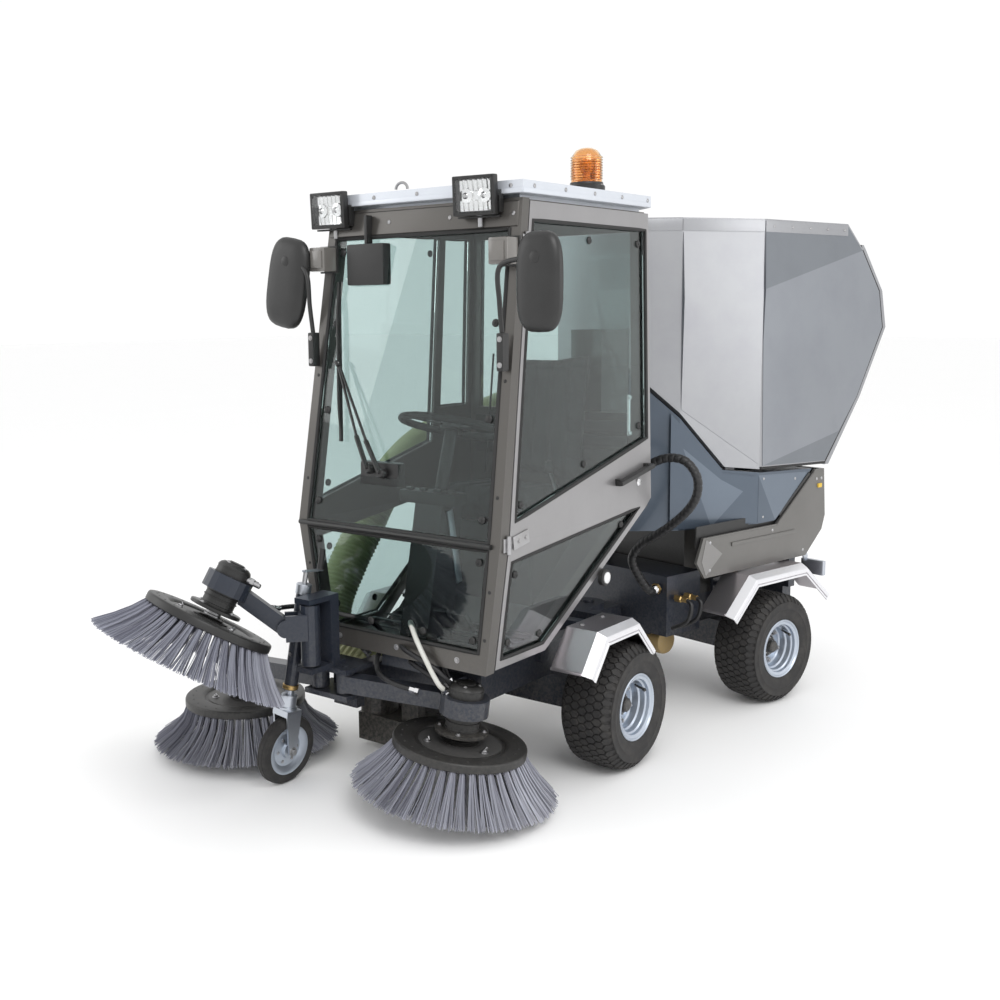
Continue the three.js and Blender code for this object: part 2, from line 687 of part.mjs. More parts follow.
// Fenders: folded sheet over each wheel, with a bracket to the frame.
const FENDER_OUT = 552;
const FENDER_IN = 392;
const FENDER_FOOT = 424;
const FENDER_SHEET = 6;
function fender(side, { frontFoot, frontTop, rearTop, rearFoot, armY, top }) {
  const t = FENDER_SHEET;
  const skin = sidePlate(
    [
      [frontFoot, FENDER_FOOT],
      [frontTop, top],
      [rearTop, top],
      [rearFoot, FENDER_FOOT],
      [rearFoot - t, FENDER_FOOT],
      [rearTop - t * 0.5, top - t],
      [frontTop + t * 0.5, top - t],
      [frontFoot + t, FENDER_FOOT],
    ],
    FENDER_IN,
    FENDER_OUT,
  );
  const lipBand = 26;
  const edge = sidePlate(
    [
      [frontFoot, FENDER_FOOT],
      [frontTop, top],
      [rearTop, top],
      [rearFoot, FENDER_FOOT],
      [rearFoot - lipBand * 1.1, FENDER_FOOT],
      [rearTop - lipBand * 0.6, top - lipBand],
      [frontTop + lipBand * 0.6, top - lipBand],
      [frontFoot + lipBand * 1.1, FENDER_FOOT],
    ],
    FENDER_OUT - 5,
    FENDER_OUT,
  );
  const arm = union(
    block(RAIL_X + RAIL_WIDTH / 2 + FIT_GAP, FENDER_IN + 40, armY - 25, armY + 25, top - 30, top - 4),
    block(RAIL_X + RAIL_WIDTH / 2 + FIT_GAP, RAIL_X + 60, armY - 25, armY + 25, RAIL_TOP - 60, top - 4),
  );
  const piece = union(skin, edge, arm);
  return side > 0 ? piece : mirrored(piece);
}
const frontFender = { frontFoot: -562, frontTop: -460, rearTop: -223, rearFoot: -100, armY: -345, top: 552 };
const rearFender = { frontFoot: 250, frontTop: 400, rearTop: 760, rearFoot: 930, armY: 690, top: 566 };
put(front, 'front_left_fender', fender(1, frontFender), SILVER());
put(front, 'front_right_fender', fender(-1, frontFender), SILVER());
put(rear, 'rear_left_fender', fender(1, rearFender), SILVER());
put(rear, 'rear_right_fender', fender(-1, rearFender), SILVER());

// ---- Rear frame, engine, housing ----------------------------------------------------------
const REAR_BOX_FRONT = 150;
const REAR_END = 1000;
function rearFrame() {
  const tongue = union(
    block(-50, 50, 0, REAR_BOX_FRONT + 20, TONGUE_LOW, TONGUE_HIGH),
    rod([0, 0, TONGUE_LOW], [0, 0, TONGUE_HIGH], 50, 24),
    rod([0, 0, RAIL_BOTTOM - 20], [0, 0, RAIL_TOP + 20], PIN_RADIUS, 24),
  );
  const box = cut(
    block(-300, 300, REAR_BOX_FRONT, 360, 310, 560),
    block(-288, 288, REAR_BOX_FRONT + 12, 372, 322, 548),
  );
  const cross = [
    block(-RAIL_X, RAIL_X, 700, 740, RAIL_BOTTOM, RAIL_TOP),
    block(-300, 300, REAR_END - 60, REAR_END, RAIL_BOTTOM, RAIL_TOP),
    block(-RAIL_X, RAIL_X, 165, 200, RAIL_BOTTOM, RAIL_TOP),
  ];
  const stands = [];
  for (const side of [-1, 1]) {
    stands.push(block(side * 300 - 30, side * 300 + 30, REAR_END - 60, REAR_END - 16, RAIL_TOP - 20, 930));
  }
  const [eyeX, eyeY] = STEER_EYE_REAR;
  const plate = block(eyeX - 65, eyeX + 50, REAR_BOX_FRONT + 2, eyeY + 50, STEER_PLATE, RAIL_BOTTOM + 12);
  const [, tipY, tipZ] = TIP_BASE;
  const railFace = RAIL_X + RAIL_WIDTH / 2;
  const tipMount = union(
    block(railFace - 1, railFace + 14, tipY - 36, tipY + 36, RAIL_BOTTOM + 30, RAIL_TOP - 4),
    block(railFace + FIT_GAP, railFace + 14, tipY - 36, tipY + 36, RAIL_BOTTOM + 30, tipZ + 30),
    rod([railFace + 4, tipY, tipZ], [TIP_X + 30, tipY, tipZ], STEER_PIN),
  );
  return union(tongue, box, ...rails(REAR_BOX_FRONT + 6, REAR_END), ...cross, ...stands, plate, tipMount);
}
put(rear, 'rear_frame', rearFrame(), NAVY());

const HOUSING_GAP = 14;
const SEAM_REAR = [1012, 961];
const SEAM_FRONT = [560, 977];
const SEAM_KNEE = [381, 999];
const NOSE_LOW_Z = SEAM_KNEE[1] + (SEAM_KNEE[0] - HOPPER_FRONT) * 1.13;
const HOUSING_FOOT = 750;
const nosePlan = [
  [-BODY_HALF, 540],
  [-330, 180],
  [-NOSE_HALF, HOPPER_FRONT],
  [NOSE_HALF, HOPPER_FRONT],
  [330, 180],
  [BODY_HALF, 540],
  [BODY_HALF, 1600],
  [-BODY_HALF, 1600],
];
function shrink(points, amount) {
  return points.map(([x, y]) => [x - Math.sign(x) * amount, y < 1000 ? y + amount : y - amount]);
}
function engineHousing() {
  const side = [
    [HOPPER_FRONT, HOUSING_FOOT],
    [660, HOUSING_FOOT],
    [SEAM_REAR[0] - 90, SEAM_REAR[1] - HOUSING_GAP],
    [SEAM_FRONT[0], SEAM_FRONT[1] - HOUSING_GAP],
    [SEAM_KNEE[0], SEAM_KNEE[1] - HOUSING_GAP],
    [HOPPER_FRONT, NOSE_LOW_Z - HOUSING_GAP],
  ];
  const core = [
    [HOPPER_FRONT - 1, HOUSING_FOOT - 1],
    [660 - 10, HOUSING_FOOT - 1],
    [SEAM_REAR[0] - 110, SEAM_REAR[1] - HOUSING_GAP - SHEET],
    [SEAM_FRONT[0], SEAM_FRONT[1] - HOUSING_GAP - SHEET],
    [SEAM_KNEE[0] - 4, SEAM_KNEE[1] - HOUSING_GAP - SHEET],
    [HOPPER_FRONT - 1, NOSE_LOW_Z - HOUSING_GAP - SHEET * 1.5],
  ];
  const shell = sidePlate(side, -BODY_HALF + 6, BODY_HALF - 6).intersect(floorPlate(shrink(nosePlan, 6), 600, 1600));
  const hollow = sidePlate(core, -BODY_HALF, BODY_HALF).intersect(floorPlate(shrink(nosePlan, 6 + SHEET), 600, 1600));
  const slot = block(TIP_X - 38, TIP_X + 52, TIP_LUG[1] - 60, TIP_BASE[1] + 90, 900, 1000);
  const notch = block(TIP_X - 38, TIP_X + 52, 640, 705, HOUSING_FOOT - 5, 795);
  return cut(shell, hollow, slot, notch);
}
put(rear, 'engine_housing', engineHousing(), SLATE_BLUE());
put(rear, 'engine', block(-200, 200, 376, 630, RAIL_TOP + FIT_GAP, 900), BLACK());

// Apron: folded side panels joined by the rear cross panel.
function sideApron() {
  const profile = [
    [150, 640],
    [190, APRON_TOP],
    [672, APRON_TOP],
    [SEAM_REAR[0] - 72, SEAM_REAR[1] - HOUSING_GAP - 6],
    [REAR_END + 6, SEAM_REAR[1] - HOUSING_GAP - 6],
    [REAR_END + 22, APRON_TOP],
    [REAR_END, 674],
    [884, APRON_BOTTOM],
    [200, APRON_BOTTOM],
  ];
  const outer = sidePlate(profile, -BODY_HALF, BODY_HALF);
  const inner = block(-BODY_HALF + SHEET, BODY_HALF - SHEET, 100, REAR_END - 10, 500, 1100);
  return cut(outer, inner);
}
put(rear, 'side_apron', sideApron(), WARM_GREY());

// ---- Hopper -------------------------------------------------------------------------------
const rearEdge = [
  [1280, 1886],
  [1425, 1706],
  [1462, 1545],
  [1270, 1240],
];
const DOOR_LEAF = 26;
const DUCT = { x0: 30, x1: 195, y0: -132, y1: HOPPER_FRONT - FIT_GAP, z0: 1215, z1: 1560 };
function hopper() {
  const side = [
    SEAM_REAR,
    ...[...rearEdge].reverse().map(([y, z]) => [y - DOOR_LEAF - 4, z]),
    [1130, HOPPER_TOP],
    [HOPPER_FRONT, HOPPER_TOP],
    [HOPPER_FRONT, NOSE_LOW_Z],
    SEAM_KNEE,
    SEAM_FRONT,
  ];
  const w = HOPPER_WALL;
  const core = [
    [SEAM_REAR[0] - 4, SEAM_REAR[1] + w],
    [1600, SEAM_REAR[1] + w + 200],
    [1600, HOPPER_TOP - w - 60],
    [1130, HOPPER_TOP - w],
    [HOPPER_FRONT, HOPPER_TOP - w],
    [HOPPER_FRONT, NOSE_LOW_Z + w * 1.5],
    [SEAM_KNEE[0] + 4, SEAM_KNEE[1] + w],
    [SEAM_FRONT[0], SEAM_FRONT[1] + w],
  ];
  const plan = floorPlate(nosePlan, 800, 2100);
  const inside = floorPlate(shrink(nosePlan, w), 800, 2100);
  const shell = sidePlate(side, -BODY_HALF, BODY_HALF).intersect(plan);
  const hollow = sidePlate(core, -BODY_HALF, BODY_HALF).intersect(inside);
  const mouth = block(DUCT.x0 + 16, DUCT.x1 - 16, DUCT.y1 - 20, DUCT.y1 + 30, NOSE_LOW_Z + 12, DUCT.z1 - 16);
  const [, lugY, lugZ] = TIP_LUG;
  const lug = block(LUG_X, LUG_X + 12, lugY - 30, lugY + 30, lugZ - 30, SEAM_KNEE[1] + 6);
  return union(cut(shell, hollow, mouth), lug);
}
put(rear, 'hopper', hopper(), SILVER());

function hopperDoor() {
  const leaf = [
    [SEAM_REAR[0] + 2, SEAM_REAR[1] - 4],
    [SEAM_REAR[0] + 30, SEAM_REAR[1] - 4],
    ...[...rearEdge].reverse(),
    [1262, 1905],
    [1246, 1905],
    ...rearEdge.map(([y, z]) => [y - DOOR_LEAF, z]),
  ];
  return sidePlate(leaf, -BODY_HALF + 4, BODY_HALF - 4);
}
put(rear, 'hopper_door', hopperDoor(), SILVER());

// ---- Sweeper unit -------------------------------------------------------------------------
// Each brush is built about its own axis: disc top at zero, bristles below it.
function brush() {
  const flare = (share, inward) => [
    DISC_RADIUS - inward + (BRISTLE_RADIUS - DISC_RADIUS) * share ** 2,
    -DISC_THICK - (BRISTLE_DROP - DISC_THICK) * share,
  ];
  const shares = [0, 0.3, 0.6, 0.8, 1];
  const profile = [
    [0, 0],
    [DISC_RADIUS, 0],
    ...shares.map((share) => flare(share, 0)),
    ...[...shares].reverse().map((share) => flare(share, 70)),
    [0, -DISC_THICK],
  ];
  return outwards(turned(profile, 32));
}
function motor() {
  const profile = [
    [0, 0],
    [90, 0],
    [90, 16],
    [MOTOR_RADIUS, 24],
    [MOTOR_RADIUS, MOTOR_LENGTH - 20],
    [MOTOR_RADIUS - 16, MOTOR_LENGTH],
    [0, MOTOR_LENGTH],
  ];
  return outwards(turned(profile, 20));
}
const heads = {
  left: { at: [238, -867, 232], axis: [0.102, 0.081, 0.99] },
  right: { at: [-770, -903, 206], axis: [0, 0, 1] },
  third: { at: [-468, -1310, 632], axis: [0.2, 0.45, 0.87] },
};
function brushHead(name) {
  const { at, axis } = heads[name];
  const turn = new THREE.Quaternion().setFromUnitVectors(new THREE.Vector3(0, 0, 1), vec(axis).normalize());
  const spin = put(front, `${name}_brush`, brush(), BRISTLE_GREY());
  const drive = put(front, `${name}_brush_motor`, motor(), BLACK());
  spin.position.set(...at);
  drive.position.copy(vec(at).addScaledVector(vec(axis).normalize(), 5));
  for (const mesh of [spin, drive]) mesh.quaternion.copy(turn);
}
for (const name of Object.keys(heads)) brushHead(name);

// A point above a brush head, measured along its axis.
function above(name, height) {
  const { at, axis } = heads[name];
  return vec(at).addScaledVector(vec(axis).normalize(), height).toArray();
}
const LINK_Z = 372; // height of the side arms' knuckles
const KNUCKLE_Y = -960;
const KNUCKLE_X = 60; // half the distance between the knuckles

const POST_Y = -1064;
const POST_TOP = 660;

// The caster's post leans: its foot stands forward and to the right of its cap.
const CASTER_TRAIL = 18;
const CASTER_DROP = 150;
const SCREW_LENGTH = 250;
const CASTER_HUB = [-378, -1074, CASTER_RADIUS];
const CASTER_CAP = [-312, -1000, 745];
const casterWay = vec(CASTER_CAP).sub(vec(CASTER_HUB)).normalize();
const casterTurn = new THREE.Quaternion().setFromUnitVectors(new THREE.Vector3(0, 0, 1), casterWay);
const CASTER_CROWN = vec([0, -CASTER_TRAIL, CASTER_DROP]).applyQuaternion(casterTurn).add(vec(CASTER_HUB)).toArray();
function casterSleeve() {
  const at = (d) => vec(CASTER_CROWN).addScaledVector(casterWay, d).toArray();
  const sleeve = rod(at(70), at(SCREW_LENGTH + 190), 24, 20);
  const bore = rod(at(60), at(SCREW_LENGTH + 20), 18, 20);
  const bracket = beam(at(150), [UNIT_X - 20, -960, LINK_Z + 50], 40, 30);
  return cut(union(sleeve, bracket), bore);
}

function knuckleHole(x, y, z0, z1) {
  return rod([x, y, z0], [x, y, z1], 18, 20);
}
function carrier() {
  const body = [
    block(UNIT_X - 55, UNIT_X + 55, -900, -860, 260, LINK_Z + 56),
    block(UNIT_X - 40, UNIT_X + 40, -872, -700 - FIT_GAP, 320, 390),
    block(UNIT_X - 40, 140, -760, -700 - FIT_GAP, 320, 390),
    block(UNIT_X - 100, UNIT_X + 100, -1000, -862, LINK_Z - 56, LINK_Z - 38),
    block(UNIT_X - 100, UNIT_X + 100, -1000, -862, LINK_Z + 38, LINK_Z + 56),
    block(UNIT_X - 36, UNIT_X + 36, -1100, -930, LINK_Z + 54, LINK_Z + 72),
    block(UNIT_X - 36, UNIT_X + 36, -1000, -960, LINK_Z + 60, POST_TOP + 22),
    block(UNIT_X - 36, UNIT_X + 36, -1100, -960, POST_TOP + 6, POST_TOP + 24),
    rod([UNIT_X, POST_Y, LINK_Z + 60], [UNIT_X, POST_Y, POST_TOP + 12], 18, 20),
    casterSleeve(),
  ];
  const pins = [-1, 1].map((side) => {
    const x = UNIT_X + side * KNUCKLE_X;
    return rod([x, KNUCKLE_Y, LINK_Z - 58], [x, KNUCKLE_Y, LINK_Z + 58], 12, 16);
  });
  return union(...body, ...pins);
}
put(front, 'sweeper_carrier', carrier(), NAVY());

function sideArm(name, side) {
  const x = UNIT_X + side * KNUCKLE_X;
  const pivot = [x, KNUCKLE_Y, LINK_Z];
  const top = above(name, 5 + MOTOR_LENGTH * 0.62);
  const far = [top[0] - side * (MOTOR_RADIUS + 34), top[1], top[2]];
  const boss = rod([x, KNUCKLE_Y, LINK_Z - 34], [x, KNUCKLE_Y, LINK_Z + 34], 32, 20);
  const arm = beam(pivot, far, ARM_WIDTH, ARM_HEIGHT - 6);
  const collar = rod(above(name, 90), above(name, 150), MOTOR_RADIUS + 24, 20);
  const bore = rod(above(name, 20), above(name, 400), MOTOR_RADIUS + FIT_GAP, 20);
  const reach = beam([far[0] - side * 30, far[1], far[2]], above(name, 5 + MOTOR_LENGTH * 0.62), ARM_WIDTH, 50);
  return cut(union(boss, arm, collar, reach), bore, knuckleHole(x, KNUCKLE_Y, 200, 600));
}
put(front, 'left_brush_arm', sideArm('left', 1), NAVY());
put(front, 'right_brush_arm', sideArm('right', -1), NAVY());

// Third brush: a swinging sleeve on the carrier's pin, and a boom that raises the head.
const BOOM_ROOT = 84; // from the pin to the boom's hinge
const boomWay = vec(heads.third.at).sub(vec([UNIT_X, POST_Y, 0])).setZ(0).normalize();
const boomSide = new THREE.Vector3(-boomWay.y, boomWay.x, 0);
const HINGE_Z = 585;
const boomHinge = vec([UNIT_X, POST_Y, HINGE_Z]).addScaledVector(boomWay, BOOM_ROOT);

// A point in the boom's own frame: along, across and up from its hinge.
function onBoom(along, across, up) {
  return boomHinge.clone().addScaledVector(boomWay, along).addScaledVector(boomSide, across)
    .add(new THREE.Vector3(0, 0, up)).toArray();
}

function swingPost() {
  const low = LINK_Z + 78;
  const sleeve = rod([UNIT_X, POST_Y, low], [UNIT_X, POST_Y, POST_TOP], 34, 20);
  const ears = [-1, 1].map((side) => {
    const y = side * 30;
    return union(
      beam(onBoom(-BOOM_ROOT + 10, y, 0), onBoom(0, y, 0), 10, 90),
      rod(onBoom(0, y - 5, 0), onBoom(0, y + 5, 0), 30, 20),
    );
  });
  const web = beam(onBoom(-BOOM_ROOT + 10, 0, 0), onBoom(-BOOM_ROOT + 40, 0, 0), 66, 90);
  const pin = rod(onBoom(0, -34, 0), onBoom(0, 34, 0), 12, 16);
  const bore = rod([UNIT_X, POST_Y, 200], [UNIT_X, POST_Y, 900], 22, 20);
  return cut(union(sleeve, web, ...ears, pin), bore);
}
put(front, 'third_swing_post', swingPost(), NAVY());

function boom() {
  const clamp = above('third', 120);
  const collar = rod(above('third', 92), above('third', 150), MOTOR_RADIUS + 22, 20);
  const bore = rod(above('third', 20), above('third', 400), MOTOR_RADIUS + FIT_GAP, 20);
  const boss = rod(onBoom(0, -22, 0), onBoom(0, 22, 0), 28, 20);
  const lower = beam(onBoom(0, 0, 0), clamp, 40, 56);
  const pinHole = rod(onBoom(0, -60, 0), onBoom(0, 60, 0), 16, 16);
  return cut(union(collar, boss, lower), bore, pinHole);
}
put(front, 'third_brush_boom', boom(), NAVY());

// Caster: a leaning post in a sleeve, with a fork and a rubber wheel.
function casterFork() {
  const crown = block(-36, 36, -34, 34, -22, 0);
  const blades = [-1, 1].map((side) => {
    const x0 = side > 0 ? CASTER_WIDTH / 2 + 6 : -CASTER_WIDTH / 2 - 14;
    return sidePlate(
      [
        [-34, -10],
        [34, -10],
        [CASTER_TRAIL + 16, -CASTER_DROP - 10],
        [CASTER_TRAIL - 16, -CASTER_DROP - 10],
      ],
      x0,
      x0 + 8,
    );
  });
  const axlePin = rod([-40, CASTER_TRAIL, -CASTER_DROP], [40, CASTER_TRAIL, -CASTER_DROP], 9);
  const screw = rod([0, 0, -10], [0, 0, SCREW_LENGTH], 15, 16);
  return union(crown, ...blades, axlePin, screw);
}
const casterGroup = new THREE.Group();
casterGroup.position.set(...CASTER_CROWN);
casterGroup.quaternion.copy(casterTurn);
front.add(casterGroup);
put(casterGroup, 'caster_fork', casterFork(), GALVANISED());
const casterProfile = [
  [12, -CASTER_WIDTH / 2],
  [CASTER_RADIUS - 12, -CASTER_WIDTH / 2],
  [CASTER_RADIUS, -CASTER_WIDTH / 2 + 12],
  [CASTER_RADIUS, CASTER_WIDTH / 2 - 12],
  [CASTER_RADIUS - 12, CASTER_WIDTH / 2],
  [12, CASTER_WIDTH / 2],
  [12, -CASTER_WIDTH / 2],
];
const casterWheel = put(casterGroup, 'caster_wheel', outwards(turned(casterProfile, 28)), TYRE_BLACK());
casterWheel.rotation.y = Math.PI / 2;
casterWheel.position.set(0, CASTER_TRAIL, -CASTER_DROP);

// ---- Suction ------------------------------------------------------------------------------
const MOUTH = { x0: -430, x1: -85, y0: -640, y1: -490, z0: 24, z1: 130 };
const HOSE_START = [-385, -568, 196];
function suctionMouth() {
  const box = block(MOUTH.x0, MOUTH.x1, MOUTH.y0, MOUTH.y1, MOUTH.z0, MOUTH.z1);
  const inside = block(MOUTH.x0 + 8, MOUTH.x1 - 8, MOUTH.y0 + 8, MOUTH.y1 - 8, MOUTH.z0 - 1, MOUTH.z1 - 8);
  const [x, y, z] = HOSE_START;
  const collar = rod([x, y, MOUTH.z1 - 4], [x, y, z - FIT_GAP], HOSE_RADIUS - 4, 24);
  const bore = rod([x, y, MOUTH.z0], [x, y, z + 10], HOSE_RADIUS - 12, 24);
  const hanger = block(-230, -150, MOUTH.y0 + 20, MOUTH.y0 + 60, MOUTH.z1 - 4, RAIL_BOTTOM - FIT_GAP);
  return cut(union(box, collar, hanger), inside, bore);
}
put(front, 'suction_mouth', suctionMouth(), BLACK());

function inletDuct() {
  const box = block(DUCT.x0, DUCT.x1, DUCT.y0, DUCT.y1, DUCT.z0, DUCT.z1);
  const inside = block(DUCT.x0 + 8, DUCT.x1 - 8, DUCT.y0 + 8, DUCT.y1 - 8, DUCT.z0 + 8, DUCT.z1 - 8);
  const middleZ = DUCT.z0 + 92;
  const inlet = rod([DUCT.x0 - 1, -52, middleZ], [DUCT.x0 + 20, -52, middleZ], HOSE_RADIUS - 10, 24);
  const outlet = block(DUCT.x0 + 16, DUCT.x1 - 16, DUCT.y1 - 20, DUCT.y1 + 1, NOSE_LOW_Z + 12, DUCT.z1 - 16);
  return cut(box, union(inside, inlet, outlet));
}
put(rear, 'inlet_duct', inletDuct(), BLACK());

// The hose's end in the cab's frame, at the duct's inlet.
function fromRear(x, y, z) {
  const angle = THREE.MathUtils.degToRad(-STEER_DEGREES);
  return [x * Math.cos(angle) - y * Math.sin(angle), PIVOT_Y + x * Math.sin(angle) + y * Math.cos(angle), z];
}
const hoseRoute = [
  HOSE_START,
  [-385, -568, 256],
  [-412, -632, 350],
  [-500, -682, 440],
  [-538, -652, 540],
  [-541, -556, 684],
  [-536, -470, 800],
  [-538, -392, 905],
  [-542, -268, 1010],
  [-560, -120, 1080],
  [-572, 20, 1120],
  [-545, 120, 1150],
  [-450, 195, 1190],
  [-300, 235, 1250],
  [-150, 252, 1290],
  fromRear(DUCT.x0 - 60, -52, DUCT.z0 + 92),
  fromRear(DUCT.x0 - FIT_GAP, -52, DUCT.z0 + 92),
];
put(front, 'suction_hose', outwards(tube(hoseRoute, HOSE_RADIUS, 12, 44)), HOSE_GREEN());

// ---- Cylinders ----------------------------------------------------------------------------
// Steering cylinder, from the front frame's left rail to the rear frame.
const STEER_ROD_EYE = fromRear(STEER_EYE_REAR[0], STEER_EYE_REAR[1], STEER_Z);
const EYE_RADIUS = 24;
const EYE_HALF = 16;
const BORE_BOTTOM = 36;
// Both halves are built from eye to eye; pin is the direction of the pins through the eyes.
function eye(at, pin, radius, halfLength) {
  const reach = vec(pin).multiplyScalar(halfLength);
  return rod(vec(at).sub(reach).toArray(), vec(at).add(reach).toArray(), radius, 20);
}
function along(from, to, distance) {
  return vec(from).addScaledVector(vec(to).sub(vec(from)).normalize(), distance).toArray();
}
function cylinderTube({ from, to, pin, tube: length, radius }) {
  const body = rod(from, along(from, to, length), radius, 20);
  const bore = rod(along(from, to, BORE_BOTTOM), along(from, to, length + 5), radius * 0.52, 16);
  const hole = eye(from, pin, PIN_HOLE, 60);
  return cut(union(body, eye(from, pin, EYE_RADIUS, EYE_HALF)), bore, hole);
}
// The rod's eye carries its pin, which ends just short of the plate it bears on.
function cylinderRod({ from, to, pin, rodStart, radius, pinReach }) {
  const length = vec(from).distanceTo(vec(to));
  const shaft = rod(along(from, to, rodStart), along(from, to, length - 10), radius * 0.45, 16);
  const pinEnd = vec(to).addScaledVector(vec(pin), pinReach).toArray();
  return union(shaft, eye(to, pin, EYE_RADIUS, EYE_HALF), rod(to, pinEnd, STEER_PIN));
}
const steering = {
  from: STEER_EYE,
  to: STEER_ROD_EYE,
  pin: [0, 0, 1],
  tube: 272,
  radius: 28,
  rodStart: 186,
  pinReach: STEER_PLATE - FIT_GAP - STEER_Z,
};
put(front, 'steering_cylinder', cylinderTube(steering), GOLD());
put(front, 'steering_rod', cylinderRod(steering), CHROME());
const tipping = {
  from: TIP_BASE,
  to: TIP_LUG,
  pin: [1, 0, 0],
  tube: 440,
  radius: 32,
  rodStart: 46,
  pinReach: LUG_X - FIT_GAP - TIP_X,
};
put(rear, 'tip_cylinder', cylinderTube(tipping), GOLD());
put(rear, 'tip_rod', cylinderRod(tipping), CHROME());

// Two wrapped hydraulic hoses in one loop behind the cab's left corner.
const wrappedRoute = [
  [330, CAB_REAR + FIT_GAP, 1010],
  [330, CAB_REAR + 40, 1010],
  [362, 152, 1044],
  [432, 172, 1076],
  [505, 182, 1070],
  [552, 188, 1015],
  [552, 194, 945],
  [512, 202, 880],
  [436, 212, 812],
  [358, 222, 758],
  [292, 236, 716],
  fromRear(255, -10, 640),
  fromRear(255, REAR_BOX_FRONT - 60, 510),
  fromRear(255, REAR_BOX_FRONT - FIT_GAP, 510),
];
put(front, 'wrapped_hose', outwards(tube(wrappedRoute, 17, 8, 40)), BLACK());

// The origin moves to the middle of the overall box.
const middle = new THREE.Box3().setFromObject(root, true).getCenter(new THREE.Vector3());
for (const group of [front, rear]) group.position.sub(middle.setZ(0));

export default root;
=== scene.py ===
import json
import math
import random

import bmesh
import bpy
from mathutils import Matrix, Vector

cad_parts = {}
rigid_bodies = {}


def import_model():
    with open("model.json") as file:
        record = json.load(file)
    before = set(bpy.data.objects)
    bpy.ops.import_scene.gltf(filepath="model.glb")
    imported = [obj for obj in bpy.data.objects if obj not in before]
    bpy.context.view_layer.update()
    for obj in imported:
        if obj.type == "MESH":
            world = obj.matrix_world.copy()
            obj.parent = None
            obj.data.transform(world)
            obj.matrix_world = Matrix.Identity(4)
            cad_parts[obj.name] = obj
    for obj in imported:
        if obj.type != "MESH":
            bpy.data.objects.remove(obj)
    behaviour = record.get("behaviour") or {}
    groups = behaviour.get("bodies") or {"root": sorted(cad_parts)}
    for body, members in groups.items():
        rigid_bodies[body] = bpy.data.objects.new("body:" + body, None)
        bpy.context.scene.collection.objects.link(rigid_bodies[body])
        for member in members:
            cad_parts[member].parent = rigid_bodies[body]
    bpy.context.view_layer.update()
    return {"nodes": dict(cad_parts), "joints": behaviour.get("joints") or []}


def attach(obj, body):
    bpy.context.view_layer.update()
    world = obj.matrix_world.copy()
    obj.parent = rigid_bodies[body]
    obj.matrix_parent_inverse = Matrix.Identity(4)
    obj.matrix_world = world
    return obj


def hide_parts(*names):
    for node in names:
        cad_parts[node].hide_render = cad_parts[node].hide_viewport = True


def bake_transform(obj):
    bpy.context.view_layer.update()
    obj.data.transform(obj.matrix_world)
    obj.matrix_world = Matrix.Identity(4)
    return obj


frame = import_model()
joints = {joint["name"]: joint for joint in frame["joints"]}
nodes = frame["nodes"]

# ---- Where things are ---------------------------------------------------------------------
PIVOT = Vector((0, 312.6, 365))
SHIFT = Vector(joints["articulation"]["pos_m"]) * 1000 - PIVOT
HEADING = math.radians(-12.4)
CAB_FRONT, CAB_REAR = -916, 75
CAB_TOP, CAB_BOTTOM, KNEE_Z = 1988, 482, 911
CAB_HALF = 440


def cab(x, y, z):
    return (Vector((x, y, z)) + SHIFT) / 1000


def rear(x, y, z):
    c, s = math.cos(HEADING), math.sin(HEADING)
    return cab(x * c - y * s, PIVOT.y + x * s + y * c, z)


def lean(x, y, z):
    """A point of the upright cab, leaned and drawn in as the CAD cab is."""
    high = z >= KNEE_Z
    run = (z - KNEE_Z) / (CAB_TOP - KNEE_Z) if high else (KNEE_Z - z) / (KNEE_Z - CAB_BOTTOM)
    half = CAB_HALF + run * ((411 if high else 375) - CAB_HALF)
    setback = run * (172 if high else 8)
    share = (CAB_REAR - y) / (CAB_REAR - CAB_FRONT)
    return cab(x * half / CAB_HALF, y + setback * share, z)


REAR_SIDE = rear(1, 0, 0) * 1000 - rear(0, 0, 0) * 1000
REAR_BACK = rear(0, 1, 0) * 1000 - rear(0, 0, 0) * 1000
UP = Vector((0, 0, 1))
LEFT = Vector((1, 0, 0))
BACK = Vector((0, 1, 0))
WINDSHIELD_NORMAL = Vector((0, -0.9875, 0.1577))


# ---- Mesh making --------------------------------------------------------------------------
def across(direction):
    """Two unit vectors at right angles to a direction."""
    way = Vector(direction).normalized()
    first = way.cross(UP if abs(way.z) < 0.9 else LEFT).normalized()
    return first, way.cross(first).normalized()


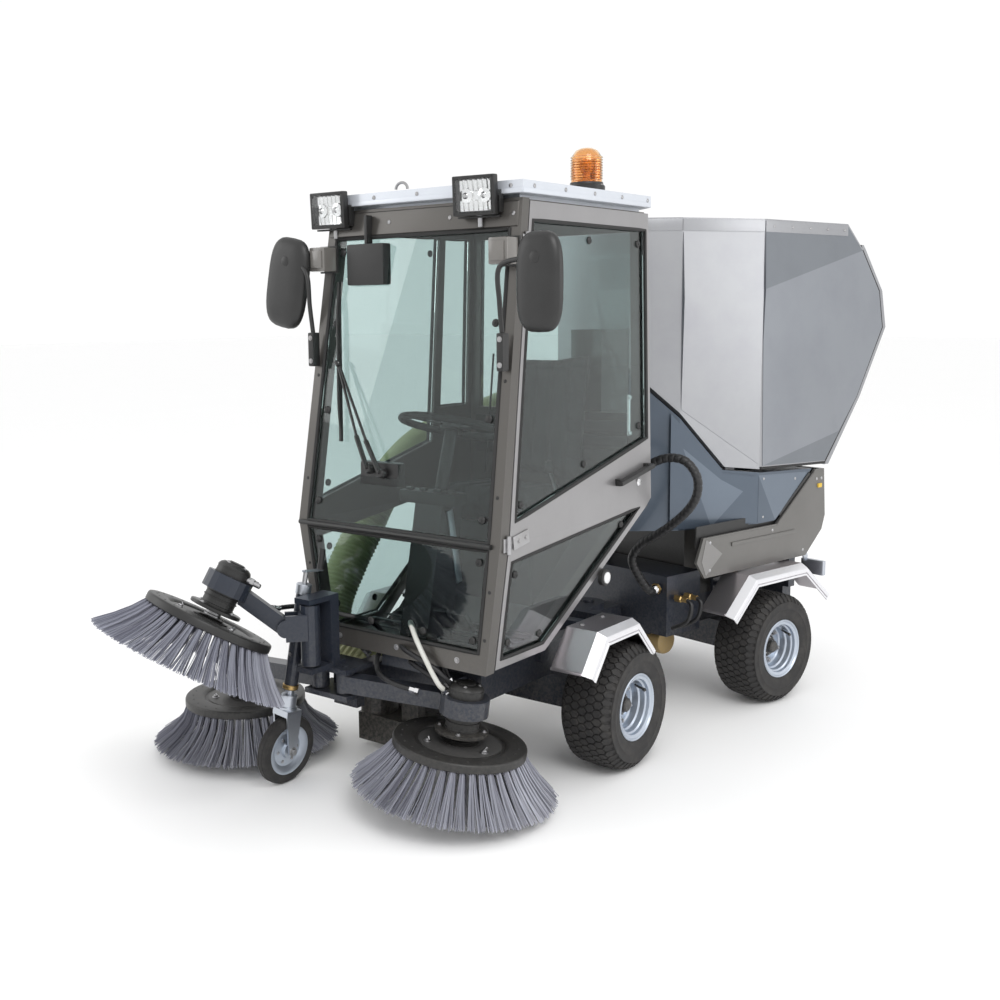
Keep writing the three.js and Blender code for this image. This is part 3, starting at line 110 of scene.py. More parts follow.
class Piece:
    """Closed solids gathered into one mesh. Each call may pick a material by its number."""

    def __init__(self, *finishes):
        self.bm = bmesh.new()
        self.finishes = finishes

    def take(self, part, finish=0, bevel=0.0, rounds=2):
        if bevel > 0:
            sharp = [e for e in part.edges if len(e.link_faces) == 2 and e.calc_face_angle(0) > 0.5]
            bmesh.ops.bevel(
                part, geom=sharp, offset=bevel / 1000, segments=rounds, profile=0.7,
                affect="EDGES", clamp_overlap=True,
            )
        for face in part.faces:
            face.material_index = finish
        mesh = bpy.data.meshes.new("part")
        part.to_mesh(mesh)
        part.free()
        self.bm.from_mesh(mesh)
        bpy.data.meshes.remove(mesh)
        return self

    def prism(self, points, depth, finish=0, bevel=0.0, rounds=2):
        """A flat outline of points swept by a vector in millimetres."""
        part = bmesh.new()
        sweep = Vector(depth) / 1000
        low = [part.verts.new(p) for p in points]
        high = [part.verts.new(Vector(p) + sweep) for p in points]
        part.faces.new(low)
        part.faces.new(list(reversed(high)))
        count = len(points)
        for i in range(count):
            j = (i + 1) % count
            part.faces.new((low[i], high[i], high[j], low[j]))
        bmesh.ops.recalc_face_normals(part, faces=part.faces)
        return self.take(part, finish, bevel, rounds)

    def hull(self, low, high, finish=0, bevel=0.0, rounds=2):
        """Two matching outlines joined by their sides."""
        part = bmesh.new()
        a = [part.verts.new(p) for p in low]
        b = [part.verts.new(p) for p in high]
        part.faces.new(a)
        part.faces.new(list(reversed(b)))
        for i in range(len(a)):
            j = (i + 1) % len(a)
            part.faces.new((a[i], b[i], b[j], a[j]))
        bmesh.ops.recalc_face_normals(part, faces=part.faces)
        return self.take(part, finish, bevel, rounds)

    def lofts(self, solids, finish=0, strips=None):
        """Solids that each pass through two or more matching outlines. strips gives a side its own material."""
        part = bmesh.new()
        marks = {}
        for rings in solids:
            rows = [[part.verts.new(p) for p in ring] for ring in rings]
            part.faces.new(rows[0])
            part.faces.new(list(reversed(rows[-1])))
            count = len(rows[0])
            for first, second in zip(rows, rows[1:]):
                for i in range(count):
                    j = (i + 1) % count
                    face = part.faces.new((first[i], second[i], second[j], first[j]))
                    if strips and i in strips:
                        marks[face] = strips[i]
        bmesh.ops.recalc_face_normals(part, faces=part.faces)
        for face in part.faces:
            face.material_index = marks.get(face, finish)
        mesh = bpy.data.meshes.new("part")
        part.to_mesh(mesh)
        part.free()
        self.bm.from_mesh(mesh)
        bpy.data.meshes.remove(mesh)
        return self

    def box(self, centre, size, finish=0, bevel=2.0, axes=None, rounds=2):
        """A bevelled box: centre in metres, size in millimetres, axes its three directions."""
        a, b, c = axes or (LEFT, BACK, UP)
        a, b, c = (Vector(v).normalized() * s / 2000 for v, s in zip((a, b, c), size))
        corners = [centre - a - b - c, centre + a - b - c, centre + a + b - c, centre - a + b - c]
        return self.prism(corners, c * 2000, finish, bevel, rounds)

    def bar(self, start, end, width, height, finish=0, bevel=3.0, rounds=2):
        way = end - start
        side, rise = across(way)
        return self.box((start + end) / 2, (way.length * 1000, width, height), finish, bevel,
                        (way, side, rise), rounds)

    def lathe(self, profile, origin, axis, finish=0, turns=24, start=0.0):
        """A closed profile of (radius, height) in millimetres turned about an axis."""
        side, other = across(axis)
        way = Vector(axis).normalized()
        part = bmesh.new()
        rings = []
        for radius, height in profile:
            at = origin + way * (height / 1000)
            if radius < 1e-6:
                rings.append([part.verts.new(at)])
                continue
            ring = []
            for i in range(turns):
                angle = start + math.tau * i / turns
                ring.append(part.verts.new(at + (side * math.cos(angle) + other * math.sin(angle)) * (radius / 1000)))
            rings.append(ring)
        for first, second in zip(rings, rings[1:]):
            for i in range(turns):
                j = (i + 1) % turns
                if len(first) == 1 and len(second) == 1:
                    continue
                if len(first) == 1:
                    part.faces.new((first[0], second[i], second[j]))
                elif len(second) == 1:
                    part.faces.new((first[i], second[0], first[j]))
                else:
                    part.faces.new((first[i], second[i], second[j], first[j]))
        bmesh.ops.remove_doubles(part, verts=part.verts, dist=1e-6)
        bmesh.ops.recalc_face_normals(part, faces=part.faces)
        return self.take(part, finish)

    def rod(self, start, end, radius, finish=0, turns=16, chamfer=None):
        length = (end - start).length * 1000
        edge = min(radius * 0.2, length * 0.2, 2.0) if chamfer is None else chamfer
        profile = [(0, 0), (radius - edge, 0), (radius, edge), (radius, length - edge),
                   (radius - edge, length), (0, length)]
        return self.lathe(profile, start, end - start, finish, turns)

    def bolt(self, at, normal, radius=7.0, finish=0, proud=5.0):
        """A washer with a hexagon head on it."""
        way = Vector(normal).normalized()
        self.rod(at - way * 0.001, at + way * 0.0015, radius * 1.5, finish, 16, 0.3)
        side, other = across(way)
        corners = [at + (side * math.cos(math.tau * i / 6) + other * math.sin(math.tau * i / 6)) * radius / 1000 for i in range(6)]
        return self.prism(corners, way * proud, finish, 0.6, 1)

    def stud(self, at, normal, radius=5.0, finish=0, proud=3.0, turns=10):
        """A low round head."""
        way = Vector(normal).normalized()
        profile = [(0, -1), (radius, -1), (radius, proud * 0.4), (radius * 0.6, proud * 0.85), (0, proud)]
        return self.lathe(profile, at, way, finish, turns)

    def sweep(self, points, radius, finish=0, sides=10, closed=False, squash=1.0):
        """A round bar along points. radius is one number, or one for each point."""
        part = bmesh.new()
        count = len(points)
        radii = radius if hasattr(radius, "__len__") else [radius] * count
        ways = []
        for i in range(count):
            before = points[i - 1] if (i or closed) else points[0]
            after = points[(i + 1) % count] if (i < count - 1 or closed) else points[-1]
            ways.append((after - before).normalized())
        side, _ = across(ways[0])
        rings = []
        for i in range(count):
            side = (side - ways[i] * side.dot(ways[i])).normalized()
            other = ways[i].cross(side)
            ring = []
            for k in range(sides):
                angle = math.tau * k / sides
                ring.append(part.verts.new(
                    points[i] + (side * math.cos(angle) + other * math.sin(angle) * squash) * (radii[i] / 1000)))
            rings.append(ring)
        pairs = list(zip(rings, rings[1:])) + ([(rings[-1], rings[0])] if closed else [])
        for first, second in pairs:
            for k in range(sides):
                j = (k + 1) % sides
                part.faces.new((first[k], second[k], second[j], first[j]))
        if not closed:
            part.faces.new(list(reversed(rings[0])))
            part.faces.new(rings[-1])
        bmesh.ops.recalc_face_normals(part, faces=part.faces)
        return self.take(part, finish)

    def strands(self, paths, radius, sides=3):
        """Many thin bars at once. Each path is its points and its material's number."""
        spots, faces, marks = [], [], []
        for points, finish in paths:
            way = (points[-1] - points[0]).normalized()
            side, other = across(way)
            turn = [(side * math.cos(math.tau * k / sides) + other * math.sin(math.tau * k / sides)) * (radius / 1000)
                    for k in range(sides)]
            base = len(spots)
            spots += [p + out for p in points for out in turn]
            for i in range(len(points) - 1):
                row = base + i * sides
                faces += [(row + k, row + (k + 1) % sides, row + (k + 1) % sides + sides,
                           row + k + sides) for k in range(sides)]
            faces.append(tuple(base + k for k in reversed(range(sides))))
            faces.append(tuple(base + (len(points) - 1) * sides + k for k in range(sides)))
            marks += [finish] * ((len(points) - 1) * sides + 2)
        mesh = bpy.data.meshes.new("strands")
        mesh.from_pydata([tuple(p) for p in spots], [], faces)
        mesh.polygons.foreach_set("material_index", marks)
        self.bm.from_mesh(mesh)
        bpy.data.meshes.remove(mesh)
        return self

    def done(self, name, body, slot, stands_for=(), sharp=32):
        mesh = bpy.data.meshes.new(name)
        self.bm.to_mesh(mesh)
        self.bm.free()
        for finish in self.finishes:
            mesh.materials.append(FINISH[finish])
        mesh.polygons.foreach_set("use_smooth", [True] * len(mesh.polygons))
        mesh.set_sharp_from_angle(angle=math.radians(sharp))
        thing = bpy.data.objects.new(name, mesh)
        bpy.context.scene.collection.objects.link(thing)
        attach(thing, body)
        if stands_for:
            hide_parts(*stands_for)
        return thing


def smooth_path(points, steps):
    """Points along a Catmull-Rom curve through the given points."""
    path = []
    count = len(points) - 1
    for i in range(count):
        p0 = points[max(i - 1, 0)]
        p1, p2 = points[i], points[i + 1]
        p3 = points[min(i + 2, count)]
        for k in range(steps):
            t = k / steps
            path.append(0.5 * (
                p1 * 2 + (p2 - p0) * t + (p0 * 2 - p1 * 5 + p2 * 4 - p3) * t * t
                + (p1 * 3 - p0 - p2 * 3 + p3) * t ** 3))
    path.append(points[-1])
    return path


def evenly(path, spacing):
    """The same path with points an even distance apart, in metres."""
    lengths = [0.0]
    for a, b in zip(path, path[1:]):
        lengths.append(lengths[-1] + (b - a).length)
    total = lengths[-1]
    count = max(2, round(total / spacing))
    out = []
    j = 0
    for i in range(count + 1):
        want = total * i / count
        while j < len(path) - 2 and lengths[j + 1] < want:
            j += 1
        span = lengths[j + 1] - lengths[j] or 1.0
        out.append(path[j].lerp(path[j + 1], (want - lengths[j]) / span))
    return out


# ---- Finishes -----------------------------------------------------------------------------
def add(tree, kind, inputs=None, **settings):
    node = tree.nodes.new(kind if kind.startswith("Node") else "ShaderNode" + kind)
    for key, value in settings.items():
        setattr(node, key, value)
    for key, value in (inputs or {}).items():
        if isinstance(value, bpy.types.NodeSocket):
            tree.links.new(value, node.inputs[key])
        else:
            node.inputs[key].default_value = value
    return node


def blend_colour(tree, share, first, second, mode="MIX"):
    return add(tree, "Mix", {0: share, 6: first, 7: second}, data_type="RGBA", blend_type=mode).outputs[2]


def remap(tree, value, low, high, to_low=0.0, to_high=1.0):
    return add(tree, "MapRange", {0: value, 1: low, 2: high, 3: to_low, 4: to_high}).outputs[0]


def maths(tree, operation, first, second=0.0):
    return add(tree, "Math", {0: first, 1: second}, operation=operation).outputs[0]


def new_group(name, inputs, outputs):
    tree = bpy.data.node_groups.new(name, "ShaderNodeTree")
    for label, value in inputs.items():
        kind = "NodeSocketColor" if hasattr(value, "__len__") else "NodeSocketFloat"
        socket = tree.interface.new_socket(label, in_out="INPUT", socket_type=kind)
        socket.default_value = (*value, 1.0) if hasattr(value, "__len__") else value
    for label, kind in outputs.items():
        tree.interface.new_socket(label, in_out="OUTPUT", socket_type=kind)
    return tree, add(tree, "NodeGroupInput").outputs, add(tree, "NodeGroupOutput").inputs


COLOUR, NUMBER = "NodeSocketColor", "NodeSocketFloat"


def place(tree):
    return add(tree, "TexCoord").outputs["Object"]


def coated_surface():
    """Paint or plastic: cloudy colour, orange peel, and dust that thickens towards the ground."""
    tree, given, out = new_group(
        "coated_surface",
        {"Color": (0.5, 0.5, 0.5), "Cloud Color": (0.4, 0.4, 0.4), "Cloud": 0.3, "Size": 6.0,
         "Roughness": 0.4,
         "Roughness Spread": 0.1, "Dust": 0.2, "Peel": 0.3},
        {"Color": COLOUR, "Roughness": NUMBER, "Height": NUMBER},
    )
    at = place(tree)
    cloud = add(tree, "TexNoise", {"Vector": at, "Scale": given["Size"], "Detail": 5.0,
                                   "Roughness": 0.6}).outputs[0]
    fine = add(tree, "TexNoise", {"Vector": at, "Scale": 260.0, "Detail": 2.0}).outputs[0]
    speck = add(tree, "TexNoise", {"Vector": at, "Scale": 90.0, "Detail": 4.0, "Roughness": 0.7}).outputs[0]
    share = maths(tree, "MULTIPLY", remap(tree, cloud, 0.35, 0.68), given["Cloud"])
    colour = blend_colour(tree, share, given["Color"], given["Cloud Color"])
    height = add(tree, "SeparateXYZ", {0: at}).outputs[2]
    low = remap(tree, height, 0.0, 0.85, 1.0, 0.0)
    dusty = maths(tree, "MULTIPLY", maths(tree, "MULTIPLY", low, low), remap(tree, speck, 0.35, 0.7))
    dusty = maths(tree, "MULTIPLY", dusty, given["Dust"])
    tree.links.new(blend_colour(tree, dusty, colour, (0.30, 0.27, 0.23, 1)), out["Color"])
    spread = maths(tree, "MULTIPLY", maths(tree, "SUBTRACT", cloud, 0.5), given["Roughness Spread"])
    rough = maths(tree, "ADD", maths(tree, "ADD", given["Roughness"], spread),
                  maths(tree, "MULTIPLY", dusty, 0.4))
    tree.links.new(rough, out["Roughness"])
    tree.links.new(maths(tree, "MULTIPLY", fine, given["Peel"]), out["Height"])
    return tree


def brushed_surface():
    """Rolled or brushed sheet: fine streaks along one direction, with faint stains."""
    tree, given, out = new_group(
        "brushed_surface",
        {"Color": (0.6, 0.6, 0.6), "Stain Color": (0.4, 0.4, 0.45), "Stain": 0.3, "Roughness": 0.3,
         "Streak": 0.5,
         "Along Z": 1.0},
        {"Color": COLOUR, "Roughness": NUMBER, "Height": NUMBER},
    )
    at = place(tree)
    parts = add(tree, "SeparateXYZ", {0: at}).outputs
    stretched = add(tree, "CombineXYZ", {
        0: maths(tree, "MULTIPLY", parts[0], 2.0),
        1: maths(tree, "MULTIPLY", parts[1], 2.0),
        2: maths(tree, "MULTIPLY", parts[2], maths(tree, "MULTIPLY", given["Along Z"], 320.0)),
    }).outputs[0]
    streak = add(tree, "TexNoise", {"Vector": stretched, "Scale": 1.0, "Detail": 3.0}).outputs[0]
    stain = add(tree, "TexNoise", {"Vector": at, "Scale": 4.0, "Detail": 6.0, "Roughness": 0.65}).outputs[0]
    share = maths(tree, "MULTIPLY", remap(tree, stain, 0.42, 0.7), given["Stain"])
    tree.links.new(blend_colour(tree, share, given["Color"], given["Stain Color"]), out["Color"])
    spread = maths(tree, "MULTIPLY", maths(tree, "SUBTRACT", streak, 0.5), given["Streak"])
    tree.links.new(maths(tree, "ADD", given["Roughness"], maths(tree, "MULTIPLY", spread, 0.5)),
                   out["Roughness"])
    tree.links.new(spread, out["Height"])
    return tree


def rubber_surface():
    """Rubber: fine pores, with lighter scuffed patches."""
    tree, given, out = new_group(
        "rubber_surface",
        {"Color": (0.02, 0.02, 0.02), "Scuff Color": (0.12, 0.11, 0.10), "Scuff": 0.4, "Size": 30.0,
         "Roughness": 0.8},
        {"Color": COLOUR, "Roughness": NUMBER, "Height": NUMBER},
    )
    at = place(tree)
    patch = add(tree, "TexNoise", {"Vector": at, "Scale": given["Size"], "Detail": 6.0,
                                   "Roughness": 0.7}).outputs[0]
    pores = add(tree, "TexVoronoi", {"Vector": at, "Scale": 700.0}).outputs[0]
    share = maths(tree, "MULTIPLY", remap(tree, patch, 0.45, 0.75), given["Scuff"])
    tree.links.new(blend_colour(tree, share, given["Color"], given["Scuff Color"]), out["Color"])
    tree.links.new(maths(tree, "ADD", given["Roughness"], maths(tree, "MULTIPLY", share, 0.2)),
                   out["Roughness"])
    tree.links.new(maths(tree, "MULTIPLY", pores, 0.4), out["Height"])
    return tree


GROUPS = {"coat": coated_surface(), "brush": brushed_surface(), "rubber": rubber_surface()}


def finish(name, group, given, bump=0.1, bump_depth=0.0006, **shader):
    """One material: a shared group feeds its colour, roughness and bump; plain numbers sit on the shader."""
    material = bpy.data.materials.new(name)
    material.use_nodes = True
    tree = material.node_tree
    shade = tree.nodes["Principled BSDF"]
    surface = add(tree, "Group", node_tree=GROUPS[group])
    for label, value in given.items():
        surface.inputs[label].default_value = (*value, 1.0) if hasattr(value, "__len__") else value
    tree.links.new(surface.outputs["Color"], shade.inputs["Base Color"])
    tree.links.new(surface.outputs["Roughness"], shade.inputs["Roughness"])
    relief = add(tree, "Bump", {"Height": surface.outputs["Height"], "Strength": bump,
                                "Distance": bump_depth})
    tree.links.new(relief.outputs[0], shade.inputs["Normal"])
    for label, value in shader.items():
        shade.inputs[label.replace("_", " ")].default_value = value
    return material


def paint(name, colour, cloud, rough=0.38, metal=0.0, dust=0.25, coat=0.0, spread=0.14, amount=0.35,
          size=5.0, peel=0.3):
    return finish(
        name, "coat",
        {"Color": colour, "Cloud Color": cloud, "Cloud": amount, "Size": size, "Roughness": rough,
         "Roughness Spread": spread, "Dust": dust, "Peel": peel},
        Metallic=metal, Coat_Weight=coat, Coat_Roughness=0.12,
    )


def metal(name, colour, stain, rough=0.3, streak=0.5, amount=0.3, across_z=1.0, metallic=1.0, bump=0.15):
    return finish(
        name, "brush",
        {"Color": colour, "Stain Color": stain, "Stain": amount, "Roughness": rough, "Streak": streak,
         "Along Z": across_z},
        bump=bump, Metallic=metallic,
    )


def rubber(name, colour, scuff, amount=0.4, rough=0.75, size=30.0, bump=0.25):
    return finish(
        name, "rubber",
        {"Color": colour, "Scuff Color": scuff, "Scuff": amount, "Size": size, "Roughness": rough}, bump=bump,
    )


def glazing(name, colour, rough=0.0):
    """A tinted pane or lens that light is bent through."""
    return finish(
        name, "coat",
        {"Color": colour, "Cloud Color": tuple(c * 0.96 for c in colour), "Cloud": 0.3, "Size": 3.0,
         "Roughness": rough,
         "Roughness Spread": 0.0, "Dust": 0.0, "Peel": 0.0},
        bump=0.0, Metallic=0.0, Transmission_Weight=1.0, IOR=1.45,
    )


def grey(value, warm=0.0):
    return (value * (1 + warm), value, value * (1 - warm))


FINISH = {
    "cab_paint": paint("cab_paint", (0.098, 0.092, 0.085), (0.09, 0.086, 0.08), 0.36, 0.55, 0.3, coat=0.3),
    "door_paint": paint("door_paint", (0.30, 0.295, 0.30), (0.24, 0.235, 0.235), 0.32, 0.6, 0.2, coat=0.3),
    "apron_paint": paint("apron_paint", (0.16, 0.155, 0.148), (0.12, 0.118, 0.11), 0.38, 0.55, 0.3, coat=0.2),
    "slate_paint": paint("slate_paint", (0.075, 0.098, 0.13), (0.055, 0.073, 0.10), 0.33, 0.35, 0.25,
                         coat=0.35),
    # Painted highlight: a lighter copy of the same slate paint, put on some facets of the housing's folded sheet.
    "slate_painted_highlight": paint("slate_painted_highlight", (0.125, 0.155, 0.195), (0.10, 0.125, 0.16), 0.33, 0.35, 0.25,
                         coat=0.35),
    # Painted highlight: a lighter copy of the same grey apron paint, put on the apron's two front facets.
    "apron_painted_highlight": paint("apron_painted_highlight", (0.24, 0.235, 0.23), (0.19, 0.185, 0.18), 0.36, 0.5, 0.2, coat=0.2),
    "navy_paint": paint("navy_paint", (0.014, 0.020, 0.035), (0.03, 0.035, 0.045), 0.4, 0.15, 0.5, coat=0.2),
    "black_paint": paint("black_paint", grey(0.012), grey(0.022), 0.38, 0.0, 0.4, coat=0.1),
    "roof_paint": paint("roof_paint", (0.60, 0.63, 0.68), (0.52, 0.55, 0.6), 0.3, 0.35, 0.0, coat=0.3),
    "silver_paint": metal("silver_paint", (0.36, 0.365, 0.38), (0.28, 0.28, 0.31), 0.34, 0.06, 0.35, 0.2,
                          0.8, 0.02),
    # Painted shade: a darker copy of the hopper's silver for the band under the top flange and the low side facets,
    # standing in for their shadow and dark reflection.
    "silver_recess_painted_shade": metal("silver_recess_painted_shade", (0.20, 0.215, 0.235), (0.16, 0.17, 0.19), 0.4, 0.06, 0.4, 0.2,
                          0.75, 0.02),
    # Painted shade: the hopper's silver made darker for its sides than for its nose.
    "silver_side_painted_shade": metal("silver_side_painted_shade", (0.27, 0.285, 0.31), (0.22, 0.23, 0.26), 0.38, 0.06, 0.4, 0.2, 0.75,
                         0.02),
    "fender_paint": metal("fender_paint", (0.42, 0.405, 0.42), (0.44, 0.37, 0.42), 0.28, 0.04, 0.5, 0.3,
                          0.85, 0.01),
    "galvanised": metal("galvanised", (0.52, 0.55, 0.60), (0.38, 0.41, 0.46), 0.38, 0.4, 0.5),
    "rim_metal": metal("rim_metal", (0.50, 0.55, 0.62), (0.38, 0.42, 0.5), 0.34, 0.25, 0.4, 0.4, 0.8),
    "chrome": metal("chrome", (0.80, 0.80, 0.81), (0.7, 0.7, 0.72), 0.1, 0.15, 0.15),
    "steel": metal("steel", (0.42, 0.42, 0.43), (0.25, 0.23, 0.21), 0.35, 0.5, 0.5),
    "brass": metal("brass", (0.55, 0.38, 0.16), (0.3, 0.2, 0.1), 0.4, 0.4, 0.5),
    "black_plastic": paint("black_plastic", grey(0.014), grey(0.022), 0.42, 0.0, 0.15, amount=0.5, size=14,
                           peel=0.8),
    "dark_plastic": paint("dark_plastic", grey(0.04), grey(0.055), 0.45, 0.0, 0.15, amount=0.5, size=14,
                          peel=0.8),
    "smoked_plastic": paint("smoked_plastic", (0.16, 0.15, 0.14), (0.10, 0.10, 0.09), 0.16, 0.0, 0.0,
                            coat=0.6),
    "white_plastic": paint("white_plastic", grey(0.62, 0.02), grey(0.5, 0.04), 0.35, 0.0, 0.2),
    "tyre_rubber": rubber("tyre_rubber", (0.022, 0.021, 0.021), (0.075, 0.07, 0.064), 0.55, 0.78, 22.0),
    "seal_rubber": rubber("seal_rubber", (0.012, 0.012, 0.012), (0.04, 0.04, 0.04), 0.3, 0.6),
    "hose_rubber": rubber("hose_rubber", (0.010, 0.010, 0.011), (0.05, 0.05, 0.05), 0.3, 0.42, 40.0),
    "hose_green": paint("hose_green", (0.50, 0.52, 0.29), (0.36, 0.38, 0.18), 0.4, 0.0, 0.3, amount=0.6,
                        size=9),
    "white_hose": paint("white_hose", (0.62, 0.62, 0.58), (0.5, 0.48, 0.42), 0.35, 0.0, 0.3, amount=0.5),
    "bristle_light": paint("bristle_light", (0.34, 0.35, 0.41), (0.26, 0.27, 0.32), 0.5, 0.0, 0.2, size=18),
    "bristle_mid": paint("bristle_mid", (0.19, 0.195, 0.24), (0.14, 0.14, 0.18), 0.5, 0.0, 0.2, size=18),
    "bristle_dark": paint("bristle_dark", (0.075, 0.078, 0.10), (0.05, 0.05, 0.07), 0.55, 0.0, 0.2, size=18),
    "seat_cloth": rubber("seat_cloth", (0.018, 0.018, 0.02), (0.05, 0.05, 0.052), 0.4, 0.7, 60.0, 0.5),
    "gold_paint": paint("gold_paint", (0.33, 0.23, 0.09), (0.2, 0.14, 0.07), 0.45, 0.3, 0.4),
    "yellow_paint": paint("yellow_paint", (0.68, 0.45, 0.05), (0.5, 0.33, 0.06), 0.4, 0.0, 0.2),
    "reflector_white": paint("reflector_white", grey(0.75), grey(0.65), 0.18, 0.0, 0.0, coat=0.7, size=60),
    "mirror_glass": metal("mirror_glass", (0.85, 0.86, 0.88), (0.78, 0.8, 0.82), 0.03, 0.02, 0.2, 1.0, 1.0,
                          0.0),
    "lamp_mirror": metal("lamp_mirror", (0.85, 0.85, 0.84), (0.7, 0.7, 0.7), 0.12, 0.1, 0.2, 1.0, 1.0, 0.1),
    "cab_glass": glazing("cab_glass", (0.64, 0.74, 0.73)),
    "glass_edge": paint("glass_edge", (0.10, 0.22, 0.19), (0.16, 0.30, 0.26), 0.12, 0.0, 0.0, coat=0.5),
    "lamp_glass": glazing("lamp_glass", (0.96, 0.97, 0.98)),
    "amber_glass": glazing("amber_glass", (0.93, 0.62, 0.34), 0.05),
    "red_lens": paint("red_lens", (0.42, 0.02, 0.015), (0.3, 0.01, 0.01), 0.15, 0.0, 0.1, coat=0.6),
    "amber_lens": paint("amber_lens", (0.75, 0.28, 0.02), (0.6, 0.2, 0.02), 0.15, 0.0, 0.1, coat=0.6),
    "headliner_cloth": rubber("headliner_cloth", (0.34, 0.35, 0.36), (0.40, 0.40, 0.41), 0.5, 0.85, 50.0,
                              0.3),
    "bulb_glow": paint("bulb_glow", (0.95, 0.55, 0.05), (0.9, 0.35, 0.02), 0.25, 0.0, 0.0, coat=0.4),
}


def dress(node, name):
    """Gives a carried-over CAD node its material."""
    mesh = nodes[node].data
    mesh.materials.clear()
    mesh.materials.append(FINISH[name])
    mesh.polygons.foreach_set("use_smooth", [True] * len(mesh.polygons))
    mesh.set_sharp_from_angle(angle=math.radians(30))


# ---- Camera, light and floor --------------------------------------------------------------
CAMERA_AT = (2574, -3863, 1639)
CAMERA_TURN, CAMERA_DROP, CAMERA_ROLL = 38.477, 7.716, -0.679
FOCAL = 1.1928  # of the render's width
CENTRE = (0.4465, 0.4727)  # principal point, from the render's left and top


def camera():
    data = bpy.data.cameras.new("camera")
    eye = bpy.data.objects.new("camera", data)
    bpy.context.scene.collection.objects.link(eye)
    turn = math.radians(CAMERA_TURN)
    drop = math.radians(CAMERA_DROP)
    look = Vector((-math.sin(turn) * math.cos(drop), math.cos(turn) * math.cos(drop), -math.sin(drop)))
    rotation = look.to_track_quat("-Z", "Y").to_matrix().to_4x4()
    roll = Matrix.Rotation(math.radians(CAMERA_ROLL), 4, "Z")
    eye.matrix_world = Matrix.Translation(cab(*CAMERA_AT)) @ rotation @ roll
    data.sensor_width = 36
    data.lens = 36 * FOCAL
    data.shift_x = 0.5 - CENTRE[0]
    data.shift_y = CENTRE[1] - 0.5
    bpy.context.scene.camera = eye


def softbox(name, at, aim, size, power, colour=(1, 1, 1)):
    data = bpy.data.lights.new(name, "AREA")
    data.shape = "RECTANGLE"
    data.size, data.size_y = size
    data.energy = power
    data.color = colour
    light = bpy.data.objects.new(name, data)
    light.location = at
    light.rotation_euler = (Vector(aim) - Vector(at)).to_track_quat("-Z", "Y").to_euler()
    bpy.context.scene.collection.objects.link(light)


def studio():
    mesh = bpy.data.meshes.new("floor")
    reach = 60
    mesh.from_pydata([(-reach, -reach, 0), (reach, -reach, 0), (reach, reach, 0), (-reach, reach, 0)], [],
                     [(0, 1, 2, 3)])
    mesh.materials.append(paint("floor_paint", grey(0.97), grey(0.955), 0.7, 0.0, 0.0, size=0.8))
    floor = bpy.data.objects.new("floor", mesh)
    bpy.context.scene.collection.objects.link(floor)
    world = bpy.data.worlds.new("studio_sky")
    world.use_nodes = True
    tree = world.node_tree
    tree.nodes["Background"].inputs[0].default_value = (1.0, 1.0, 1.0, 1)
    tree.nodes["Background"].inputs[1].default_value = 1.02
    bpy.context.scene.world = world
    bpy.context.scene.view_settings.view_transform = "Standard"
    softbox("key", (4.5, -3.5, 6.0), (0, 0, 0.8), (3.5, 3.5), 190)
    softbox("side", (6.5, 2.0, 2.5), (0, 0.4, 1.0), (2.5, 3.5), 60)
    softbox("fill", (-5.0, -4.0, 3.5), (0, -0.5, 0.8), (3.5, 3.0), 50)


camera()
studio()

# ---- Carried-over CAD nodes ---------------------------------------------------------------
for name in (
    "left_door_upper_glass", "left_door_lower_glass", "right_upper_glass", "right_rear_glass",
    "right_lower_glass", "upper_windshield", "lower_windshield", "rear_window",
):
    dress(name, "cab_glass")
for name in (
    "front_frame", "rear_frame", "front_axle", "rear_axle", "sweeper_carrier", "left_brush_arm",
    "right_brush_arm", "third_swing_post", "third_brush_boom",
):
    dress(name, "navy_paint")
for name in ("suction_mouth", "inlet_duct", "engine", "cab_floor"):
    dress(name, "black_paint")
for name in ("steering_wheel", "left_brush_motor", "right_brush_motor", "third_brush_motor"):
    dress(name, "black_plastic")
for name in ("steering_rod", "tip_rod"):
    dress(name, "chrome")
for name in ("steering_cylinder", "tip_cylinder"):
    dress(name, "gold_paint")
dress("cab_frame", "cab_paint")
dress("cab_roof", "roof_paint")
dress("left_door", "door_paint")
dress("engine_housing", "slate_paint")
dress("side_apron", "apron_paint")
dress("hopper", "silver_paint")
dress("hopper_door", "silver_paint")
dress("caster_fork", "galvanised")

# ---- Cab: frame, seals and glass fixings --------------------------------------------------
DOOR_FRONT, DOOR_REAR, DOOR_TOP, DOOR_BOTTOM = -865, 45, 1980, 490
WINDOW_FRONT, WINDOW_REAR, WINDOW_TOP = -839, 19, 1920
UPPER_WINDOW = [(WINDOW_FRONT, 978), (WINDOW_REAR, 1168), (WINDOW_REAR, WINDOW_TOP),
                (WINDOW_FRONT, WINDOW_TOP)]
LOWER_WINDOW = [(WINDOW_FRONT, 522), (-595, 522), (-45, 918), (WINDOW_FRONT, 848)]
SIDE_UPPER = [(WINDOW_FRONT, 978), (-215, 1128), (-215, WINDOW_TOP), (WINDOW_FRONT, WINDOW_TOP)]
SIDE_REAR_UPPER = [(-170, 1260), (WINDOW_REAR, 1260), (WINDOW_REAR, WINDOW_TOP), (-170, WINDOW_TOP)]
SIDE_LOWER = [(WINDOW_FRONT, 522), (-595, 522), (-215, 758), (-215, 918), (WINDOW_FRONT, 848)]


def around(corners, step=60.0):
    """Points along a closed outline, a short way apart, so that it follows the cab's bends."""
    out = []
    for a, b in zip(corners, corners[1:] + corners[:1]):
        a, b = Vector(a), Vector(b)
        count = max(1, round((b - a).length / step))
        out += [a.lerp(b, i / count) for i in range(count)]
    return out


